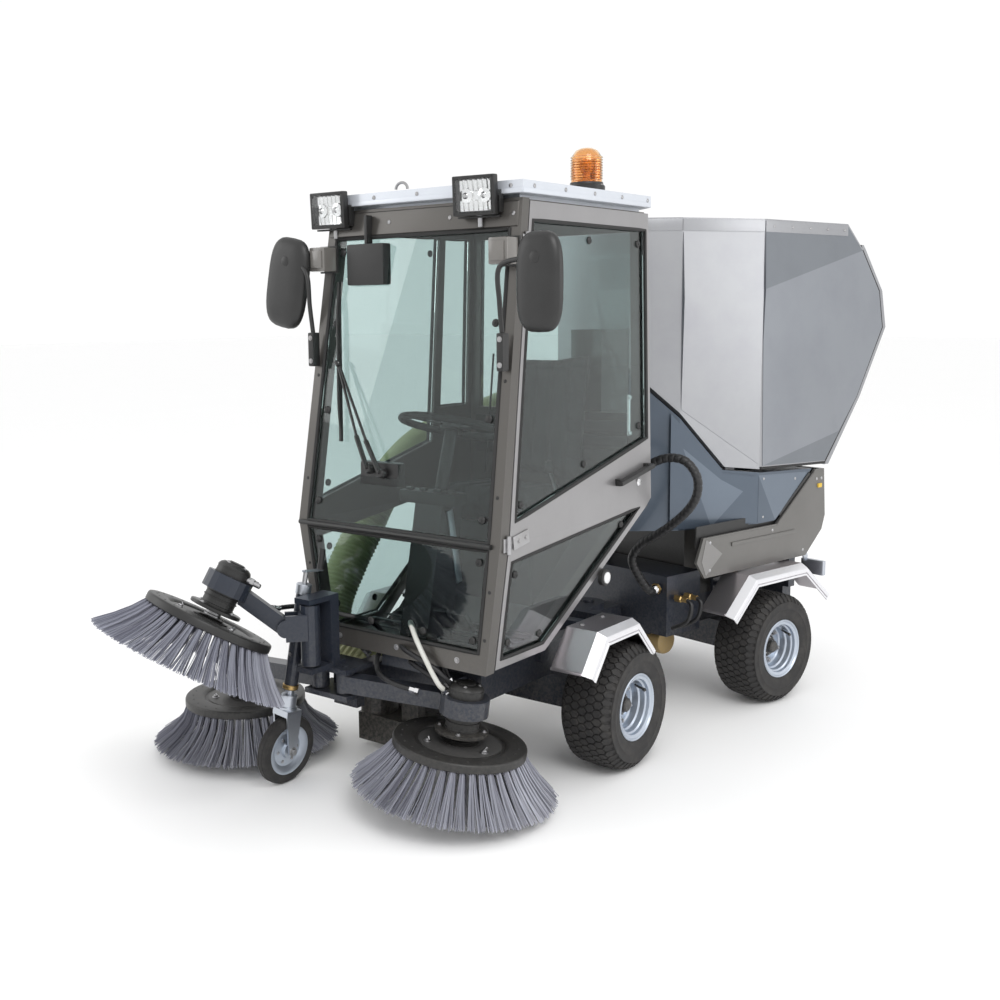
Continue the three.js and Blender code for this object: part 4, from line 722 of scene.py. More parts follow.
def window_seal(piece, corners, x, radius=7.0):
    points = [lean(x, y, z) for y, z in around(corners)]
    piece.sweep(points, radius, 0, 6, closed=True)


def shield_seal(piece, half, low, high, y, radius=7.0):
    corners = [(-half, low), (half, low), (half, high), (-half, high)]
    piece.sweep([lean(x, y, z) for x, z in around(corners)], radius, 0, 6, closed=True)


seals = Piece("seal_rubber")
for window in (SIDE_UPPER, SIDE_REAR_UPPER, SIDE_LOWER):
    window_seal(seals, window, -433)
shield_seal(seals, 396, 916, 1892, -915)
shield_seal(seals, 396, 553, 892, -915)
seals.done("window_seals", "cab_module", "black")

door_seals = Piece("seal_rubber", "glass_edge")
for window in (UPPER_WINDOW, LOWER_WINDOW):
    window_seal(door_seals, window, 438)
    window_seal(door_seals, window, 414)
door_seals.sweep([lean(411, y, z) for y, z in around([
    (DOOR_FRONT + 10, DOOR_BOTTOM + 10), (-580, DOOR_BOTTOM + 10), (DOOR_REAR - 10, 948),
    (DOOR_REAR - 10, DOOR_TOP - 12),
    (DOOR_FRONT + 10, DOOR_TOP - 12)])], 6, 0, 6, closed=True)
door_seals.done("door_seals", "left_door_body", "black")


def fixing(piece, at, normal):
    """A round black clamp that holds a pane, seen from outside."""
    way = Vector(normal).normalized()
    piece.lathe([(0, -2), (13, -2), (13, 3), (10, 6), (5, 7), (4, 9), (0, 9)], at, way, 0, 16)


fixings = Piece("black_plastic")
for x in (-360, 360):
    for z in (985, 1300, 1600, 1845):
        fixing(fixings, lean(x, -909, z), WINDSHIELD_NORMAL)
    for z in (590, 850):
        fixing(fixings, lean(x, -909, z), (0, -1, 0))
for x in (-130, 130):
    fixing(fixings, lean(x, -909, 590), (0, -1, 0))
for y, z in ((-800, 1030), (-800, 1860), (-260, 1190), (-260, 1860), (-800, 590), (-800, 800), (-250, 880),
             (-600, 575)):
    fixing(fixings, lean(-424, y, z), (-1, 0, 0))
fixings.done("glass_fixings", "cab_module", "black")

door_fixings = Piece("black_plastic")
for y, z in (
    (-800, 1025), (-800, 1870), (-420, 1870), (-30, 1870), (-30, 1215), (-420, 1115), (-800, 570),
    (-800, 800),
    (-615, 560), (-150, 868),
):
    fixing(door_fixings, lean(429, y, z), (1, 0, 0))
door_fixings.done("door_glass_fixings", "left_door_body", "black")

# Knee bar across the front, and the header panel above the windshield.
front_trim = Piece("black_plastic", "cab_paint", "steel")
low, high = KNEE_Z - 14, KNEE_Z + 6
front_trim.sweep([lean(x, -922, KNEE_Z - 4) for x in range(-430, 431, 40)], 9, 0, 8)
front_trim.hull(
    [lean(-430, -914, 1897), lean(430, -914, 1897), lean(430, -914, 1980), lean(-430, -914, 1980)],
    [lean(-426, -921, 1901), lean(426, -921, 1901), lean(426, -921, 1976), lean(-426, -921, 1976)], 1, 2)
for x in (-410, -140, 140, 410):
    front_trim.stud(lean(x, -921, 1940), WINDSHIELD_NORMAL, 7, 2, 4)
for side in (-1, 1):
    for z in (760, 600, 1060, 1420, 1780):
        front_trim.stud(lean(side * 418, -915, z), WINDSHIELD_NORMAL if z > KNEE_Z else (0, -1, 0), 6, 0, 4)
for x in (-300, 0, 300):
    front_trim.bolt(lean(x, -915, 516), (0, -1, 0), 7, 2)
front_trim.done("front_trim", "cab_module", "cab_grey")

# Roof: a folded rim, drip channels and its fixing bolts.
roof_trim = Piece("roof_paint", "steel", "black_plastic")
FRONT_EDGE, ROOF_HALF = -764, 425
x0, x1 = -ROOF_HALF, ROOF_HALF
roof_trim.bar(cab(x0, FRONT_EDGE - 1, 2008), cab(x1, FRONT_EDGE - 1, 2008), 5, 14, 0, 1.5)
for side in (-1, 1):
    x = side * ROOF_HALF
    roof_trim.bar(cab(x, FRONT_EDGE, 2008), cab(x, 42, 2008), 5, 14, 0, 1.5)
    for y in range(-700, 40, 180):
        roof_trim.stud(cab(x, y, 2024), (side, 0, 0), 7, 1, 4)
for x in range(-380, 381, 190):
    roof_trim.stud(cab(x, FRONT_EDGE, 2024), (0, -1, 0), 7, 1, 4)
for x in (-300, -100, 100, 300):
    roof_trim.box(cab(x, -340, 2041), (24, 700, 5), 0, 2)
lift_eye = [cab(-120 + 26 * math.cos(a), -700,
                2052 + 22 * math.sin(a)) for a in [math.pi * i / 10 for i in range(11)]]
roof_trim.sweep(lift_eye, 5, 1, 8)
roof_trim.box(cab(-120, -700, 2043), (80, 26, 6), 1, 2)
roof_trim.done("roof_trim", "cab_module", "roof_white")


# ---- Lamps, mirrors, beacon ---------------------------------------------------------------
def work_lamp(piece, at, aim):
    """Square lamp: a ribbed case, a faceted bowl with two bulbs, and a clear cover."""
    ahead = Vector(aim).normalized()
    side = ahead.cross(UP).normalized()
    rise = side.cross(ahead).normalized()

    def spot(a, b, c):
        return at + (side * a + rise * b + ahead * c) / 1000

    half_w, half_h = 72, 58
    ring = [(-half_w, -half_h + 14), (-half_w + 14, -half_h), (half_w - 14, -half_h), (half_w, -half_h + 14),
            (half_w, half_h - 14), (half_w - 14, half_h), (-half_w + 14, half_h), (-half_w, half_h - 14)]
    piece.hull([spot(a * 0.62, b * 0.62, -72) for a, b in ring], [spot(a, b, -18) for a, b in ring], 0, 3)
    for a, b in ((0, 1), (0, -1), (1, 0), (-1, 0)):
        size = (150, 14, 26) if b else (14, 122, 26)
        piece.box(spot(a * (half_w - 3), b * (half_h - 3), -6), size, 0, 4, (side, rise, ahead))
    piece.hull([spot(a * 0.9, b * 0.9, -17) for a, b in ring],
               [spot(a * 0.9, b * 0.9, -13) for a, b in ring], 1, 0)
    for column in range(-3, 4):
        for row in (-1, 1):
            piece.prism([spot(column * 17 - 8, row * 30 - 17, -13), spot(column * 17 + 8, row * 30 - 17, -13),
                         spot(column * 17 + 5, row * 30 + 17, -13),
                         spot(column * 17 - 5, row * 30 + 17, -13)],
                        ahead * 3, 1, 1.5, 1)
    for offset in (-32, 32):
        piece.lathe([(0, -14), (24, -14), (22, -6), (10, -2), (6, 3), (0, 4)], spot(offset, 0, 0), ahead, 1,
                    20)
        piece.lathe([(0, 0), (6, 0), (6, 3), (4, 5), (0, 5)], spot(offset, 0, 2), ahead, 4, 12)
    piece.prism([spot(a * 0.9, b * 0.9, 6) for a, b in ring], ahead * 3, 2, 1)
    for slot in range(-3, 4):
        piece.box(spot(slot * 16, 0, -58), (5, 66, 30), 0, 1, (side, rise, ahead))
    for offset in (-86, 86):
        piece.box(spot(offset * 0.93, -20, -30), (5, 70, 26), 0, 1, (side, rise, ahead))
    piece.box(spot(0, -66, -34), (150, 6, 26), 0, 1.5, (side, rise, ahead))
    piece.rod(spot(0, -98, -36), spot(0, -64, -36), 9, 3)
    piece.bolt(spot(0, -62, -36), rise, 9, 3)


lamps = Piece("black_plastic", "lamp_mirror", "lamp_glass", "steel", "reflector_white")
work_lamp(lamps, cab(-372, -800, 1990), (0.05, -1, -0.05))
work_lamp(lamps, cab(268, -806, 1998), (0.12, -1, -0.05))
lamps.done("work_lamps", "cab_module", "black")

markers = Piece("smoked_plastic", "black_plastic", "steel")
for side, x in ((-1, -392), (1, 384)):
    centre = cab(x, -812, 1822)
    markers.box(centre, (74, 62, 84), 0, 9)
    markers.box(centre + Vector((0, 0.034, 0)), (84, 10, 94), 1, 3)
    markers.box(centre + Vector((0, -0.033, 0)), (52, 6, 60), 0, 3)
    markers.bar(centre + Vector((0, 0.03, 0)), lean(side * 425, -905, 1830), 16, 10, 1, 2)
markers.done("marker_lamps", "cab_module", "black")


def mirror(side, name, node, at, width, height, roll):
    """A domed oblong head on a bent arm from a clamp on the post. at is the head's place from the clamp."""
    root = lean(side * (CAB_HALF - 30), CAB_FRONT, 1511) * 1000
    root.y -= 12

    def spot(x, y, z):
        return Vector((root.x + side * x, root.y + y, root.z + z)) / 1000

    centre = spot(*at)
    turn = Matrix.Rotation(math.radians(roll * side), 3, "Y")
    wide, rise = turn @ LEFT, turn @ UP

    def oblong(w, h, c):
        ring = []
        for i in range(36):
            angle = math.tau * i / 36
            ca, sa = math.cos(angle), math.sin(angle)
            ring.append(centre + (wide * math.copysign(abs(ca) ** 0.6, ca) * w
                                  + rise * math.copysign(abs(sa) ** 0.6, sa) * h) / 2000 + BACK * (c / 1000))
        return ring

    head = Piece("black_plastic", "mirror_glass", "steel")
    layers = [(0.30, -21), (0.60, -19), (0.84, -14), (0.96, -5), (1.0, 4), (1.0, 15), (0.96, 20)]
    head.lofts([[oblong(width * s, height * (1 - (1 - s) * 0.7), c) for s, c in layers]], 0)
    head.lofts([[oblong(width * 0.90, height * 0.94, 19.5), oblong(width * 0.90, height * 0.94, 21.5)]], 1)
    head.box(spot(13, -19, 0), (26, 34, 118), 0, 6)
    for z in (-40, 40):
        head.bolt(spot(13, -36, z), (0, -1, 0), 6, 2, 4)
    ball = centre + (rise * (height * 0.24)) / 1000 - BACK * 0.016
    head.lathe([(0, -8), (17, -6), (20, 0), (17, 6), (8, 9), (0, 9)], ball, -BACK, 0, 20)
    bend = [spot(13, -20, 50), spot(13, -34, 150), spot(18, -40, 260),
            spot(at[0] - 40, at[1] + 4, at[2] + height * 0.24), ball]
    head.sweep(smooth_path(bend, 8), 8, 0, 12)
    head.done(name, "cab_module", "black", (node,))


mirror(1, "left_mirror_head", "left_mirror", (176, -64, 211), 158, 298, 0)
mirror(-1, "right_mirror_head", "right_mirror", (132, -28, 233), 188, 318, -12)

BEACON = cab(330, -240, 2041)
beacon = Piece("amber_glass", "black_plastic", "bulb_glow", "lamp_mirror", "steel")
beacon.lathe([(0, 0), (63, 0), (64, 6), (64, 20), (58, 26), (57, 33), (0, 33)], BEACON, UP, 1, 36)
dome = [(54, 33), (55, 60), (54, 100), (50, 124), (38, 141), (20, 149), (0, 151)]
dome_inner = [(r - 3.5 if r > 4 else 0, h - (3.5 if h > 120 else 0)) for r, h in reversed(dome)]
beacon.lathe(dome + dome_inner[:-1] + [(50.5, 33), (54, 33)], BEACON, UP, 0, 36)
for k in range(9):
    beacon.lathe([(54, 44 + k * 9), (56.6, 46 + k * 9), (54, 48 + k * 9), (53, 46 + k * 9),
                  (54, 44 + k * 9)], BEACON, UP, 0, 36)
beacon.lathe([(0, 33), (30, 33), (28, 44), (12, 48), (12, 60), (20, 70), (26, 88), (22, 106), (10, 116),
              (0, 118)],
             BEACON, UP, 2, 20)
beacon.hull([BEACON + Vector((-0.03, 0.02, 0.045)), BEACON + Vector((0.03, 0.02, 0.045)),
             BEACON + Vector((0.034, 0.034, 0.045)), BEACON + Vector((-0.034, 0.034, 0.045))],
            [BEACON + Vector((-0.03, 0.02, 0.112)), BEACON + Vector((0.03, 0.02, 0.112)),
             BEACON + Vector((0.034, 0.03, 0.112)), BEACON + Vector((-0.034, 0.03, 0.112))], 3)
for k in range(3):
    angle = math.tau * k / 3
    beacon.stud(BEACON + Vector((0.06 * math.cos(angle), 0.06 * math.sin(angle), 0.022)), UP, 4, 4, 4)
beacon.done("roof_beacon", "cab_module", "amber", ("beacon",))

# ---- Wiper --------------------------------------------------------------------------------
wiper = Piece("black_paint", "seal_rubber", "steel")


def shield_point(x, z, proud):
    """A point in front of the windshield at a given place across and up."""
    run = (z - KNEE_Z) / (CAB_TOP - KNEE_Z)
    return cab(x, CAB_FRONT + 172 * run, z) + WINDSHIELD_NORMAL * (proud / 1000)


pivots = [shield_point(-60, 1100, 4), shield_point(-118, 1112, 4)]
meet = [shield_point(-283, 1452, 26), shield_point(-296, 1468, 26)]
for start, end in zip(pivots, meet):
    wiper.lathe([(0, 0), (17, 0), (17, 14), (12, 22), (0, 24)], start - WINDSHIELD_NORMAL * 0.002,
                WINDSHIELD_NORMAL, 0, 18)
    wiper.bar(start + WINDSHIELD_NORMAL * 0.020, start.lerp(end, 0.3) + WINDSHIELD_NORMAL * 0.022, 16, 9, 0,
              2)
    wiper.bar(start.lerp(end, 0.27) + WINDSHIELD_NORMAL * 0.022, end, 8, 7, 0, 1.5)
wiper.bar(meet[0], meet[1], 22, 12, 0, 3)
hold = (meet[0] + meet[1]) / 2
wiper.rod(hold - WINDSHIELD_NORMAL * 0.012, hold + WINDSHIELD_NORMAL * 0.006, 6, 2)
top, foot = shield_point(-338, 1742, 9), shield_point(-262, 1196, 9)
wiper.bar(top, foot, 7, 11, 0, 1.5)
wiper.bar(top - WINDSHIELD_NORMAL * 0.006, foot - WINDSHIELD_NORMAL * 0.006, 3, 9, 1, 0.5)
for share in (0.25, 0.75):
    middle = top.lerp(foot, share)
    bow = [top.lerp(foot, share - 0.2), middle + WINDSHIELD_NORMAL * 0.010, top.lerp(foot, share + 0.2)]
    wiper.sweep(smooth_path(bow, 4), 4, 0, 6)
wiper.bar(top.lerp(foot, 0.25) + WINDSHIELD_NORMAL * 0.010, top.lerp(foot, 0.75) + WINDSHIELD_NORMAL * 0.010,
          6, 6, 0, 1)
wiper.box(shield_point(-88, 1100, -26), (170, 40, 80), 0, 8)
wiper.done("wiper", "cab_module", "black")

# ---- Hoses --------------------------------------------------------------------------------
HOSE_RADIUS, HOSE_PITCH = 76, 17
HOSE_ROUTE = [cab(*p) for p in (
    (-385, -568, 196), (-385, -568, 256), (-412, -632, 350), (-500, -682, 440), (-538, -652, 540),
    (-541, -556, 684),
    (-536, -470, 800), (-538, -392, 905), (-542, -268, 1010), (-560, -120, 1080), (-572, 20, 1120),
    (-545, 120, 1150),
    (-450, 195, 1190), (-300, 235, 1250), (-150, 252, 1290))] + [rear(-30, -52, 1307), rear(29.6, -52, 1307)]
WRAP_RADIUS, WRAP_PITCH = 17, 24
WRAP_ROUTE = [cab(*p) for p in (
    (330, 75.4, 1010), (330, 115, 1010), (362, 152, 1044), (432, 172, 1076), (505, 182, 1070),
    (552, 188, 1015),
    (552, 194, 945), (512, 202, 880), (436, 212, 812), (358, 222, 758), (292, 236, 716))] + [
        rear(255, -10, 640), rear(255, 90, 510), rear(255, 149.6, 510)]


def loose(piece, name, slot, stands_for):
    """A piece that bends across the articulation, so it is set free of any one body."""
    thing = piece.done(name, "cab_module", slot, (stands_for,), sharp=60)
    thing.parent = None
    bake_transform(thing)
    return thing


def spiral_wrap(path, radius, pitch, ridge, sides=18):
    """A tube with a flat band wound round it, standing proud by ridge."""
    piece = Piece("hose_rubber")
    part = bmesh.new()
    side = None
    run = 0.0
    rings = []
    for i, point in enumerate(path):
        way = (path[min(i + 1, len(path) - 1)] - path[max(i - 1, 0)]).normalized()
        side = across(way)[0] if side is None else (side - way * side.dot(way)).normalized()
        other = way.cross(side)
        run += (point - path[i - 1]).length * 1000 if i else 0
        ring = []
        for k in range(sides):
            angle = math.tau * k / sides
            wound = (run / pitch + k / sides) % 1.0
            out = radius - (ridge if wound > 0.82 else 0.0)
            ring.append(part.verts.new(point + (side * math.cos(angle) + other * math.sin(angle)) * (out / 1000)))
        rings.append(ring)
    for first, second in zip(rings, rings[1:]):
        for k in range(sides):
            j = (k + 1) % sides
            part.faces.new((first[k], second[k], second[j], first[j]))
    part.faces.new(list(reversed(rings[0])))
    part.faces.new(rings[-1])
    bmesh.ops.recalc_face_normals(part, faces=part.faces)
    return piece.take(part)


wrap_path = evenly(smooth_path(WRAP_ROUTE, 12), 0.003)
wrap = loose(spiral_wrap(wrap_path, WRAP_RADIUS, WRAP_PITCH, 2.2), "spiral_wrapped_hoses", "hose_black",
             "wrapped_hose")
WRAP_LENGTH = sum((b - a).length for a, b in zip(wrap_path, wrap_path[1:]))
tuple(wrap_path[0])

hose_path = evenly(smooth_path(HOSE_ROUTE, 12), HOSE_PITCH / 4000)
ribs = (0.0, 3.0, 7.0, 3.0)
suction = Piece("hose_green")
suction.sweep(hose_path, [HOSE_RADIUS - ribs[i % 4] for i in range(len(hose_path))], 0, 32)
loose(suction, "ribbed_suction_hose", "hose", "suction_hose")


def hose_band(piece, at, way, radius):
    """A worm-drive band round a hose end, with its screw housing."""
    piece.lathe([(radius - 3, -7), (radius + 2, -7), (radius + 2, 7), (radius - 3, 7), (radius - 3, -7)], at,
                way, 0, 36)
    side, other = across(way)
    piece.box(at + side * ((radius + 6) / 1000), (12, 26, 13), 0, 2, (side, other, way))
    piece.bolt(at + side * ((radius + 6) / 1000) + other * 0.013, other, 5, 0, 5)


def union_nut(piece, at, way):
    """A hose ferrule with a hexagon nut behind it."""
    piece.lathe([(17.5, 0), (20, 2), (20, 26), (17.5, 30), (17.5, 0)], at, way, 0, 20)
    piece.lathe([(17.2, 4), (24, 4), (24, 16), (17.2, 16), (17.2, 4)], at, way, 1, 6)


bands = Piece("steel")
hose_band(bands, hose_path[4], (hose_path[6] - hose_path[2]).normalized(), HOSE_RADIUS)
bands.done("suction_hose_band", "cab_module", "galvanised")
bands = Piece("steel")
hose_band(bands, hose_path[-5], (hose_path[-3] - hose_path[-7]).normalized(), HOSE_RADIUS)
bands.done("duct_hose_band", "rear_module", "galvanised")
nuts = Piece("chrome", "brass")
union_nut(nuts, wrap_path[1], (wrap_path[3] - wrap_path[0]).normalized())
nuts.done("cab_hose_union", "cab_module", "chrome")
nuts = Piece("chrome", "brass")
union_nut(nuts, wrap_path[-2], (wrap_path[-4] - wrap_path[-1]).normalized())
nuts.done("frame_hose_union", "rear_module", "chrome")

# ---- Brushes and their motors -------------------------------------------------------------
DISC_RADIUS, DISC_THICK = 225, 30
BRISTLE_RADIUS, BRISTLE_DROP = 360, 171
HEADS = {
    "left": ((238, -867, 232), (0.102, 0.081, 0.99), "left_spinner", "left_arm", 0.25),
    "right": ((-770, -903, 206), (0, 0, 1), "right_spinner", "right_arm", 0.8),
    "third": ((-468, -1310, 632), (0.2, 0.45, 0.87), "third_spinner", "third_boom", 0.3),
}


def tuft(draw, spot, angle, root, tip, bow, count, spread, finishes):
    """The strands of one tuft: bundled at the disc, fanned out at their tips."""
    paths = []
    for _ in range(count):
        around_root = draw.uniform(0, math.tau)
        off = 8.5 * math.sqrt(draw.random())
        out, aside = off * math.cos(around_root), off * math.sin(around_root)
        fan = aside / 8.5 * spread + draw.uniform(-0.012, 0.012)
        reach = tip + out * 1.6 + draw.uniform(-4, 4)
        drop = BRISTLE_DROP - draw.uniform(0, 7)
        points = []
        for share in (0, 0.34, 0.67, 1):
            flare = share * (1 - bow) + share * share * bow
            radius = root + out * (1 - share) + (reach - root) * flare
            points.append(spot(radius, angle + aside / root * (1 - share) + fan * share,
                               -DISC_THICK + 3 - (drop - DISC_THICK) * share))
        paths.append((points, draw.choice(finishes)))
    return paths


def brush(name):
    place_at, axis, spinner, carrier, bow = HEADS[name]
    draw = random.Random(name)
    way = Vector(axis).normalized()
    side, other = across(way)
    middle = cab(*place_at)

    def spot(radius, angle, height):
        return middle + ((side * math.cos(angle) + other * math.sin(angle)) * radius + way * height) / 1000

    piece = Piece("black_plastic", "dark_plastic", "bristle_light", "bristle_mid", "bristle_dark", "steel")
    rim = DISC_RADIUS
    piece.lathe([
        (0, -9), (150, -9), (152, -6), (158, -1), (166, 0), (rim - 7, 0), (rim - 2, -2), (rim, -7),
        (rim, -DISC_THICK + 3),
        (rim - 4, -DISC_THICK), (0, -DISC_THICK)], middle, way, 0, 64)
    piece.lathe([(0, -10), (140, -10), (140, -7.5), (136, -6.5), (0, -6.5)], middle, way, 1, 48)
    piece.lathe([(0, -8), (62, -8), (62, -3), (44, 0), (42, 3), (0, 3)], middle, way, 0, 32)
    for k in range(3):
        angle = math.tau * k / 3 + 0.4
        seat_at = spot(112, angle, -6.5)
        piece.bolt(seat_at, way, 9, 5, 8)
        wing = (spot(112, angle + 0.16, 4) - seat_at).normalized()
        piece.bar(seat_at + way * 0.006 - wing * 0.015, seat_at + way * 0.006 + wing * 0.015, 4, 12, 5, 1.5)
    for k in range(24):
        piece.stud(spot(196, math.tau * k / 24, 0), way, 3.4, 1, 1.6, 8)
    paths = []
    for k in range(44):
        angle = math.tau * k / 44
        paths += tuft(draw, spot, angle, 211, 336, bow, 30, 0.074, (2, 2, 3))
        piece.rod(spot(211, angle, -DISC_THICK - 5), spot(211, angle, -DISC_THICK + 2), 9.5, 4, 10, 1)
    for k in range(38):
        angle = math.tau * (k + 0.5) / 38
        paths += tuft(draw, spot, angle, 176, 304, bow, 15, 0.084, (3, 4, 4))
    piece.strands(paths, 1.45)
    piece.done(name + "_bristle_disc", spinner, "bristle", (name + "_brush",), sharp=50)

    drive = Piece("black_plastic", "steel", "black_paint")
    drive.lathe([(0, 6), (31, 6), (31, 12), (27, 14), (27, 30), (0, 30)], middle, way, 1, 24)
    drive.lathe([(0, 26), (88, 26), (90, 28), (90, 37), (87, 39), (66, 40), (0, 40)], middle, way, 2, 40)
    drive.lathe([(0, 38), (58, 38), (58, 46), (56, 48), (56, 84), (58, 86), (58, 180), (54, 186), (44, 193),
                 (0, 194)],
                middle, way, 0, 40)
    drive.lathe([(0, 190), (30, 190), (30, 197), (24, 200), (0, 200)], middle, way, 0, 24)
    for k in range(4):
        angle = math.tau * k / 4 + 0.5
        drive.bolt(spot(74, angle, 39), way, 7, 1, 6)
        drive.bolt(spot(40, angle, 192), way, 5, 1, 4)
    for height in (66, 110, 150, 172):
        drive.lathe([(56, height), (59.4, height + 1), (59.4, height + 4), (56, height + 5), (56, height)],
                    middle, way, 0, 40)
    for angle in (0.9, 1.7):
        start = spot(56, angle, 162)
        out = (spot(90, angle, 162) - spot(56, angle, 162)).normalized()
        drive.rod(start, start + out * 0.016, 12, 1, 16)
        drive.lathe([(0, 14), (14, 14), (14, 26), (0, 26)], start, out, 1, 6)
        drive.rod(start + out * 0.024, start + out * 0.05, 9, 1, 16)
    drive.done(name + "_drive", carrier, "black", (name + "_brush_motor",))


for head in HEADS:
    brush(head)

# ---- Caster: rubber wheel, grey rim, sleeve cap and crank ---------------------------------
CASTER_AXLE = Vector(joints["caster_roll"]["pos_m"])
CASTER_SIDE = Vector(joints["caster_roll"]["axis"]).normalized()
POST_WAY = Vector(joints["caster_swivel"]["axis"]).normalized()
CROWN = Vector(joints["caster_swivel"]["pos_m"])
wheel = Piece("tyre_rubber", "rim_metal", "steel", "black_plastic")
wheel.lathe([
    (84, -19), (96, -22), (110, -22), (118, -18), (122, -9), (123.2, 0), (122, 9), (118, 18), (110, 22),
    (96, 22), (84, 19),
    (84, -19)], CASTER_AXLE, CASTER_SIDE, 0, 56)
for height in (-8, 8):
    wheel.lathe([(121, height - 1), (123.3, height - 0.5), (123.3, height + 0.5), (121, height + 1),
                 (121, height - 1)],
                CASTER_AXLE, CASTER_SIDE, 0, 56)
wheel.lathe([
    (12, -21), (26, -21), (30, -10), (60, -7), (72, -15), (84, -20), (89, -20), (89, 20), (84, 20), (72, 15),
    (60, 7),
    (30, 10), (26, 21), (12, 21), (12, -21)], CASTER_AXLE, CASTER_SIDE, 1, 40)
for side in (-1, 1):
    for k in range(6):
        angle = math.tau * k / 6
        a, b = across(CASTER_SIDE)
        at = CASTER_AXLE + (a * math.cos(angle) + b * math.sin(angle)) * 0.045 + CASTER_SIDE * (side * 0.0095)
        wheel.stud(at, CASTER_SIDE * side, 6, 2, 2.5)
wheel.done("caster_tyre_and_rim", "caster_roller", "rubber_black", ("caster_wheel",))

fork_trim = Piece("galvanised", "steel")
for side in (-1, 1):
    fork_trim.bolt(CASTER_AXLE + CASTER_SIDE * (side * 0.037), CASTER_SIDE * side, 11, 1, 9)
    fork_trim.rod(CASTER_AXLE + CASTER_SIDE * (side * 0.023), CASTER_AXLE + CASTER_SIDE * (side * 0.029), 15,
                  1, 20)
fork_trim.rod(CROWN - POST_WAY * 0.002, CROWN + POST_WAY * 0.010, 33, 0, 28)
fork_trim.rod(CROWN + POST_WAY * 0.008, CROWN + POST_WAY * 0.052, 28, 0, 28)
fork_trim.done("caster_fork_trim", "caster_swivel_body", "galvanised")

CAP_TOP = CROWN + POST_WAY * 0.440
crank = Piece("galvanised", "black_plastic", "brass", "steel", "navy_paint")
crank.rod(CAP_TOP - POST_WAY * 0.03, CAP_TOP + POST_WAY * 0.006, 27, 0, 28)
crank.rod(CAP_TOP + POST_WAY * 0.004, CAP_TOP + POST_WAY * 0.05, 9, 3, 16)
crank_side = across(POST_WAY)[0]
elbow = CAP_TOP + POST_WAY * 0.05
crank.bar(elbow - crank_side * 0.012, elbow + crank_side * 0.078, 16, 8, 0, 2)
crank.rod(elbow + crank_side * 0.068, elbow + crank_side * 0.068 + POST_WAY * 0.075, 11, 1, 20)
crank.rod(CROWN + POST_WAY * 0.072, CROWN + POST_WAY * 0.088, 28, 2, 28)
crank.rod(CROWN + POST_WAY * 0.300, CROWN + POST_WAY * 0.320, 27, 0, 28)
crank.stud(CROWN + POST_WAY * 0.2 - BACK * 0.024, -BACK, 7, 3, 4)
crank.done("caster_post_crank", "cab_module", "galvanised")

# ---- Wheels -------------------------------------------------------------------------------
TYRE_RADIUS, SHOULDER_AT, SHOULDER_BEND = 229, 66, 34


def tread(run, depth=0.0):
    """A point of the tread's cross-section (across, radius), run mm from its middle line."""
    flat = max(-SHOULDER_AT, min(SHOULDER_AT, run))
    top = TYRE_RADIUS - 0.0006 * flat * flat - depth
    if abs(run) <= SHOULDER_AT:
        return run, top
    bend = (abs(run) - SHOULDER_AT) / SHOULDER_BEND
    return math.copysign(SHOULDER_AT + (SHOULDER_BEND - depth) * math.sin(bend), run), (
        TYRE_RADIUS - 0.0006 * SHOULDER_AT ** 2 - SHOULDER_BEND + (SHOULDER_BEND - depth) * math.cos(bend))


TREAD_DEPTH = 6.5
PITCHES = 48
carcass = [tread(run, TREAD_DEPTH) for run in range(-112, 113, 8)]
outer_wall = [(102, 197), (102.6, 193), (101.4, 190), (101, 172), (102, 169.5), (102, 167), (100.4, 165),
              (99, 150), (95, 134),
              (90, 122), (84.5, 118), (83, 106)]
tyre_profile = [(r, x) for x, r in carcass + outer_wall] + [(r, -x) for x, r in reversed(outer_wall)]
rim_profile = [
    (103.5, -84), (103.5, 84), (118, 85), (121.5, 88), (122, 92), (119, 94.5), (115, 93), (112, 89),
    (101, 86), (99, 75),
    (93, 71), (91, 53), (85, 48), (83, 24), (78, 19), (30, 19), (30, 11), (80, 10), (88, 2), (90, -80),
    (101, -86), (112, -89),
    (115, -93), (119, -94.5), (122, -92), (121.5, -88), (118, -85), (103.5, -84)]


